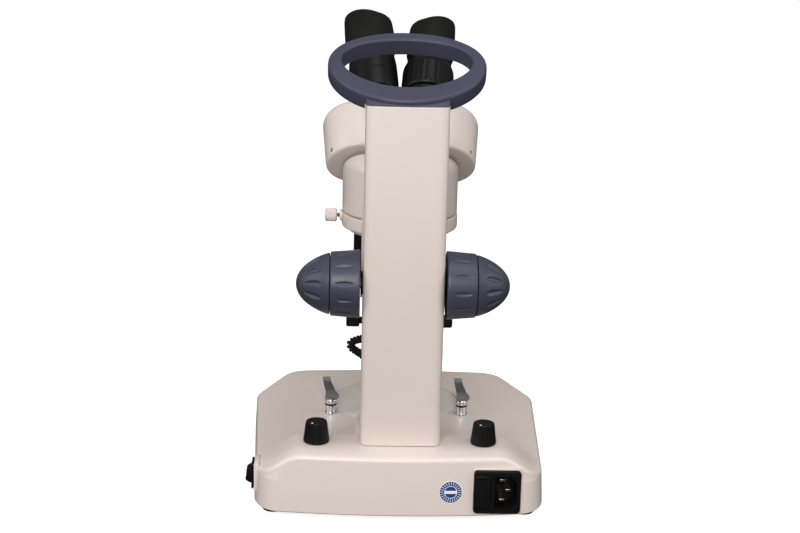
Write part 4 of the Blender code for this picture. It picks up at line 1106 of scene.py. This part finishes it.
def make_eyecup(side, name, radius, body):
    """A rubber cup whose rim stands higher on the outer side, to keep stray light out."""
    place = eyepiece_place(side, EYEPIECE_LIFT[name])
    low, high = EYECUP_STATION + GAP, EYECUP_END
    span, wing = high - low, 0.0045
    outside = [(0.0120, 0, 0), (radius - 0.0016, 0, 0), (radius - 0.0003, 0.0009, 0), (radius, 0.0028, 0)]
    outside += [(radius - 0.0004, 0.0042, 0), (radius - 0.0004, 0.0050, 0), (radius, 0.0062, 0)]
    outside += [(radius + 0.0001, span * 0.5, 0.0012), (radius - 0.0003, span * 0.75, 0.0030)]
    outside += [(radius - 0.0006, span - 0.0006, wing), (radius - 0.0011, span, wing)]
    inside = [(radius - 0.0018, span - 0.0004, wing), (radius - 0.0024, span * 0.75, 0.0030)]
    inside += [(radius - 0.0028, span * 0.5, 0.0010), (radius - 0.0034, 0.0090, 0), (0.0135, 0.0062, 0)]
    inside += [(0.0120, 0.0058, 0)]
    rows, steps = [], 72
    for size, height, rise in outside + inside:
        row = []
        for k in range(steps):
            angle = 2 * pi * k / steps
            facing = max(cos(angle - (0.0 if side > 0 else pi)), -0.4)
            row.append((size * cos(angle), size * sin(angle), low + height + rise * facing))
        rows.append(row)
    cup = skinned(f"{name}_rubber_eyecup", rows, place, closed=True)
    rounder = cup.modifiers.new("rounder", "SUBSURF")
    rounder.levels = rounder.render_levels = 1
    settled(cup)
    piece(cup, body, "rubber", f"{name}_eyecup", angle=60)


def make_eyepiece(side, name):
    lift = EYEPIECE_LIFT[name]
    place = eyepiece_place(side, lift)
    body = "left_eyepiece" if name == "left" else "right_eyetube"
    start = NECK_END + GAP
    if name == "left":
        start += 0.0025
        outer = [(0.0172, start), (0.0172, 0.0550), (0.0152, 0.0553, 0.0001), (0.0152, 0.0826, 0.0001)]
        outer += [(0.0165, 0.0842), (0.0168, 0.0862), (0.0160, 0.0885)]
    else:
        outer = [(0.0172, start), (0.0180, 0.0560, 0.002), (0.0182, 0.0640), (0.0182, 0.0655, 0.0001)]
        outer += [(0.0178, 0.0657, 0.0001), (0.0178, 0.0664, 0.0001), (0.0182, 0.0666, 0.0001)]
        outer += [(0.0182, 0.0760, 0.003), (0.0172, 0.0860), (0.0165, 0.0885)]
    profile = [(0.0110, NECK_START + 0.0039), (0.0148, NECK_START + 0.0039), (0.0148, start)] + outer
    profile += [(0.0145, EYECUP_STATION), (0.0110, EYECUP_STATION)]
    barrel = lathe(f"{name}_eyepiece_barrel", soft(profile, 0.0005, 4, True), place, 96, hollow=True)
    piece(barrel, body, "satin", f"{name}_eyepiece", angle=40)
    make_eyecup(side, name, 0.0190 if name == "right" else 0.0180, body)
    lens = [(0.0008, 0.0840), (0.0100, 0.0840), (0.0104, 0.0844), (0.0104, 0.0868)]
    lens += [(0.0104 * cos(a), 0.0868 + 0.0022 * sin(a)) for a in (radians(10 * k) for k in range(1, 9))]
    piece(
        lathe(f"{name}_eyepiece_glass", lens + [(0.0006, 0.0890)], place, 64), body, "coated",
        f"{name}_eye_lens"
    )
    if name == "left":
        low, high = 0.0556, 0.0822
        ring = [(0.0155, low), (0.0184, low, 0.0004), (0.0191, 0.0568, 0.0004)]
        ring += [(0.0193, s, 0) for s in stations(0.0575, 0.0760, 10)]
        ring += [(0.0190, 0.0775, 0.0006), (0.0178, 0.0812, 0.001), (0.0172, high, 0.0004), (0.0155, high)]
        thing = lathe(
            "diopter_grip", soft(ring, 0.0003, 3, True), place, 432, hollow=True,
            relief=ribs(28, 0.0003, 0.0572, 0.0764),
        )
        piece(thing, "diopter", "satin", "diopter_ring", angle=50)


# ---------------------------------------------------------------- controls


def make_dials():
    for side, name in SIDES:
        place = upright(side * DIAL_X, DIAL_Y, RAISED_TOP)
        shape = [(0.0010, 0.0003, 0), (DIAL_LOW_RADIUS - 0.0003, 0.0003), (DIAL_LOW_RADIUS, 0.0008)]
        grip = stations(0.0020, DIAL_HEIGHT - 0.0014, 9)
        slope = (DIAL_TOP_RADIUS - DIAL_LOW_RADIUS) / (grip[-1] - grip[0])
        shape += [(DIAL_LOW_RADIUS + slope * (z - grip[0]), z, 0) for z in grip]
        shape += [(DIAL_TOP_RADIUS - 0.0003, DIAL_HEIGHT - 0.0004), (DIAL_TOP_RADIUS - 0.0012, DIAL_HEIGHT)]
        shape += [
            (0.0052, DIAL_HEIGHT, 0.0003), (0.0050, DIAL_HEIGHT - 0.0004, 0.0002),
            (0.0010, DIAL_HEIGHT - 0.0004, 0)
        ]
        relief = ribs(18, 0.0003, 0.0024, DIAL_HEIGHT - 0.0012)
        knob = lathe(f"{name}_dimmer_dial", soft(shape, 0.0003, 3), place, 288, relief=relief)
        fuse(knob, rod("stem", 0.0020, -0.008, 0.002, place))
        painted(knob, "black")
        dot = rod(
            "dot", 0.0007, DIAL_HEIGHT - 0.00005, DIAL_HEIGHT + 0.00008, place @ upright(0.0026, 0.0055), 20
        )
        joined(knob, painted(dot, "white"))
        piece(knob, f"{name}_dial", None, f"{name}_dial", slot="black_plastic", angle=45)


def make_switch():
    side_view = facing_x(SWITCH)
    rim = extruded("switch_bezel", rounded_box(0.0075, 0.0089, 0.0010, 6), 0.0003, 0.0018, side_view)
    bevelled(rim, 0.0004, 3, 50)
    fuse(rim, extruded("sleeve", rounded_box(0.0060, 0.0072, 0.0005, 2), -0.0130, 0.0010, side_view))
    cut(rim, extruded("window", rounded_box(0.0048, 0.0064, 0.0004, 3), -0.0110, 0.0100, side_view))
    piece(rim, "stand", "black", "switch_frame")
    tipped = Matrix.Rotation(radians(-9), 4, "Y")
    outline = [(0.0, 0.0060), (0.0024, 0.0058), (0.0058, 0.0030), (0.0054, -0.0010), (0.0056, -0.0044)]
    outline += [(0.0026, -0.0058), (0.0, -0.0060), (-0.0060, -0.0030), (-0.0060, 0.0030)]
    turned = [tipped @ Vector((x, 0, z)) for x, z in outline]
    points = soft([(p.x, -p.z, 0.0014 if i in (3, 4) else 0.0006) for i, p in enumerate(turned)], 0, 6, True)
    rocker = bevelled(
        extruded("power_rocker", points, -0.0045, 0.0045, along(SWITCH, (0, 1, 0))), 0.0004, 3, 50
    )
    painted(rocker, "black")
    mark = rod("mark", 0.0011, -0.0001, 0.00012, facing_x(SWITCH + Vector((0.0056, 0, 0.0012))), 28)
    joined(rocker, painted(mark, "white"))
    piece(rocker, "rocker", None, "switch_rocker", slot="black_plastic")


def make_inlet():
    rear_view = along((INLET_X, 0, INLET_Z), (0, 1, 0))
    low, high = INLET_Z - 0.0135, INLET_Z + 0.0135
    flange = extruded(
        "inlet_flange", rounded_box(*INLET_HALF, 0.0026, 8), INLET_SEAT + GAP, INLET_FACE, rear_view
    )
    bevelled(flange, 0.0005, 3, 50)
    fuse(
        flange,
        block("inlet_body", (INLET_X - 0.0140, 0.1035, low), (INLET_X + 0.0150, INLET_SEAT + 0.001, high))
    )
    # The socket's recess has two cut corners. The rear view's local X runs along the world's, and its Y down.
    hexagon = [(-0.0030, -0.0115), (0.0075, -0.0115), (0.0075, 0.0115), (-0.0030, 0.0115)]
    hexagon += [(-0.0075, 0.0070), (-0.0075, -0.0070)]
    outline = soft([(SOCKET_X - INLET_X + x, y, 0.0012) for x, y in hexagon], 0, 5, True)
    half = DRAWER_HALF + GAP
    space = block(
        "drawer_space", (DRAWER_X - half, 0.1055, INLET_Z - 0.0120), (DRAWER_X + half, 0.13, INLET_Z + 0.0120)
    )
    cut(flange, extruded("recess", outline, 0.1075, 0.13, rear_view), space)
    piece(flange, "stand", "black", "inlet_housing")
    for name, x, z in (("line", 0.0020, 0.0070), ("neutral", 0.0020, -0.0070), ("earth", -0.0020, 0.0)):
        x, z = SOCKET_X + x, INLET_Z + z
        pin = block(f"{name}_pin", (x - 0.0020, 0.1078, z - 0.0010), (x + 0.0020, 0.1190, z + 0.0010), 0.0005)
        piece(pin, "stand", "nickel", f"{name}_blade")
    low = (DRAWER_X - DRAWER_HALF, 0.1059, INLET_Z - 0.0116)
    drawer = block("fuse_tray", low, (DRAWER_X + DRAWER_HALF, INLET_FACE + 0.0004, INLET_Z + 0.0116), 0.0004)
    cut(
        drawer,
        block("fuse_space", (DRAWER_X - 0.0033, 0.1075, INLET_Z - 0.0105), (0, 0.1190, INLET_Z + 0.0105))
    )
    notch_place = along((DRAWER_X, 0, INLET_Z + 0.0088), (0, 1, 0))
    cut(
        drawer,
        extruded("notch", rounded_box(0.0022, 0.0012, 0.0006, 5), INLET_FACE - 0.0010, 0.13, notch_place)
    )
    piece(drawer, "drawer", "black", "fuse_drawer")


def make_sticker():
    """A plain round film label without lettering: a blue ring with ticks, and a white and blue middle."""
    steps, bands = 96, (0.0040, 0.0044, 0.0050, 0.0070, 0.0074, STICKER_RADIUS)
    shape = bmesh.new()

    def wall(x, z):
        return OUTLINE_MIDDLE_Y + (rear_wall(x) - OUTLINE_MIDDLE_Y) * wall_scale(z) + 0.00008

    rings = []
    for radius in bands:
        ring = []
        for k in range(steps):
            x, z = STICKER_X + radius * cos(2 * pi * k / steps), STICKER_Z + radius * sin(2 * pi * k / steps)
            ring.append(shape.verts.new((x, wall(x, z) + 0.00010, z)))
        rings.append(ring)
    centre = rings[0]
    shape.faces.new(centre[4:45]).material_index = 1
    shape.faces.new(centre[52:93]).material_index = 1
    shape.faces.new(centre[92:] + centre[:5] + centre[44:53])
    for band, (inner, outer) in enumerate(zip(rings, rings[1:])):
        for k in range(steps):
            j = (k + 1) % steps
            face = shape.faces.new((inner[k], inner[j], outer[j], outer[k]))
            face.material_index = (0, 1, 0 if k % 4 == 0 else 1, 1, 0)[band]
    edge = [shape.verts.new((v.co.x, v.co.y - 0.00016, v.co.z)) for v in rings[-1]]
    for k in range(steps):
        j = (k + 1) % steps
        shape.faces.new((rings[-1][k], rings[-1][j], edge[j], edge[k]))
    shape.faces.new(edge)
    thing = object_of("round_label", shape)
    for finish in ("white", "blue", "pale_blue"):
        thing.data.materials.append(MATERIALS[finish])
    piece(thing, "stand", None)


def make_clips():
    for side, name in SIDES:
        place = upright(side * CLIP_X, CLIP_Y, DECK_TOP)
        bush = [(0.0018, -0.008), (0.0030, -0.008), (0.0030, 0.0003), (0.0044, 0.0003), (0.0044, 0.0012)]
        bush += [(0.0038, 0.0014), (0.0038, 0.0075), (0.0018, 0.0075)]
        post = lathe(f"{name}_clip_post", soft(bush, 0.0003, 3, True), place, 48, hollow=True)
        piece(post, "stand", "chrome", f"{name}_clip_bush")
        head = [
            (0.0014, -0.006, 0), (0.0014, 0.0078, 0), (0.0042, 0.0078), (0.0044, 0.0085), (0.0044, 0.0106)
        ]
        head += [(0.0036, 0.0116), (0.0006, 0.0118, 0)]
        clip = lathe(f"{name}_spring_clip", soft(head, 0.0004, 4), place, 64)
        rows = []
        for y, z in soft([(y, z, 0.005) for y, z, _, _ in CLIP_LEAF], 0, 8):
            (y0, _, left0, right0), (y1, _, left1, right1) = next(
                pair for pair in zip(CLIP_LEAF, CLIP_LEAF[1:]) if y >= pair[1][0] - 1e-6
            )
            share = (y0 - y) / (y0 - y1)
            left, right = left0 + (left1 - left0) * share, right0 + (right1 - right0) * share
            rows.append([(left, y, z), (right, y, z), (right, y, z + 0.0007), (left, y, z + 0.0007)])
        fuse(clip, skinned("leaf", rows, place @ Matrix.Rotation(CLIP_REST[name], 4, "Z")))
        collar = [(0.0040, 0.0066), (0.0043, 0.0066), (0.0043, 0.0074), (0.0040, 0.0074)]
        piece(
            lathe(f"{name}_clip_collar", soft(collar, 0.0001, 2, True), place, 48, hollow=True), "stand",
            "satin"
        )
        piece(clip, f"{name}_clip", "chrome", f"{name}_stage_clip")


# ---------------------------------------------------------------- carried-over CAD nodes, floor and light

CARRIED = {
    "focus_guide": "steel",
    "pinion_shaft": "steel",
    "focus_rack": "brass",
    "led_module": "circuit",
    "circuit_board": "circuit",
    "left_prism": "glass",
    "right_prism": "glass",
    "left_dimmer": "steel",
    "right_dimmer": "steel",
}


def dress_frame():
    for name, finish in CARRIED.items():
        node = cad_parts[name]
        node.data.materials.clear()
        node.data.materials.append(MATERIALS[finish])


def make_sky():
    """A studio seen from the object: bright overhead and behind the camera, dim in front and below."""
    world = bpy.data.worlds.new("studio")
    bpy.context.scene.world = world
    world.use_nodes = True
    tree = world.node_tree

    def ramp(value, start, end, low, high):
        node = tree.nodes.new("ShaderNodeMapRange")
        for index, number in ((1, start), (2, end), (3, low), (4, high)):
            node.inputs[index].default_value = number
        tree.links.new(value, node.inputs[0])
        return node.outputs[0]

    def maths(operation, first, second):
        node = tree.nodes.new("ShaderNodeMath")
        node.operation = operation
        tree.links.new(first, node.inputs[0])
        tree.links.new(second, node.inputs[1])
        return node.outputs[0]

    parts = tree.nodes.new("ShaderNodeSeparateXYZ")
    tree.links.new(tree.nodes.new("ShaderNodeTexCoord").outputs["Generated"], parts.inputs[0])
    _, back, up = parts.outputs
    open_sky = maths("ADD", ramp(back, -1, 1, 0.05, 0.36), ramp(up, 0, 1, 0.0, 0.22))
    strength = maths("MULTIPLY", open_sky, ramp(up, -0.12, 0.12, 0.30, 1.0))
    tree.links.new(strength, tree.nodes["Background"].inputs[1])
    tree.nodes["Background"].inputs[0].default_value = (1.0, 0.985, 0.97, 1.0)


def make_floor_and_light():
    n = Nodes("white_floor")
    cloud = n.spread(n.noise(3, 3), 0, 1)
    n.set(Base_Color=n.colour_mix(cloud, (0.44, 0.44, 0.44), (0.46, 0.46, 0.46)), Roughness=0.9)
    n.set(Specular_IOR_Level=0.0, Emission_Color=(1, 1, 1, 1), Emission_Strength=0.84)
    shape = bmesh.new()
    bmesh.ops.create_grid(shape, x_segments=4, y_segments=4, size=14.0)
    floor = object_of("floor", shape)
    floor.data.materials.append(n.material)
    floor.visible_diffuse = floor.visible_glossy = False
    make_sky()
    for name, place, size, power in (
        ("key", (0.40, 2.60, 1.50), 1.5, 60.0),
        ("overhead", (-0.30, 0.55, 1.90), 1.2, 8.0),
        ("left_fill", (-1.60, 0.60, 0.90), 1.2, 9.0),
        ("right_fill", (1.60, 0.60, 0.90), 1.2, 11.0),
    ):
        data = bpy.data.lights.new(name, "AREA")
        data.energy, data.size = power, size
        light = bpy.data.objects.new(name, data)
        bpy.context.scene.collection.objects.link(light)
        light.location = place
        light.rotation_euler = (Vector((0, 0.03, 0.15)) - Vector(place)).to_track_quat("-Z", "Y").to_euler()
    bpy.context.scene.view_settings.view_transform = "Standard"


def main():
    make_camera()
    make_cord()
    make_base()
    make_stage()
    make_pillar()
    make_handle()
    make_focus_drive()
    make_carriage()
    make_lamp()
    make_head()
    make_turret()
    for side, name in SIDES:
        make_prism_housing(side, name)
        make_eyepiece(side, name)
    make_dials()
    make_switch()
    make_inlet()
    make_sticker()
    make_clips()
    dress_frame()
    make_floor_and_light()


main()
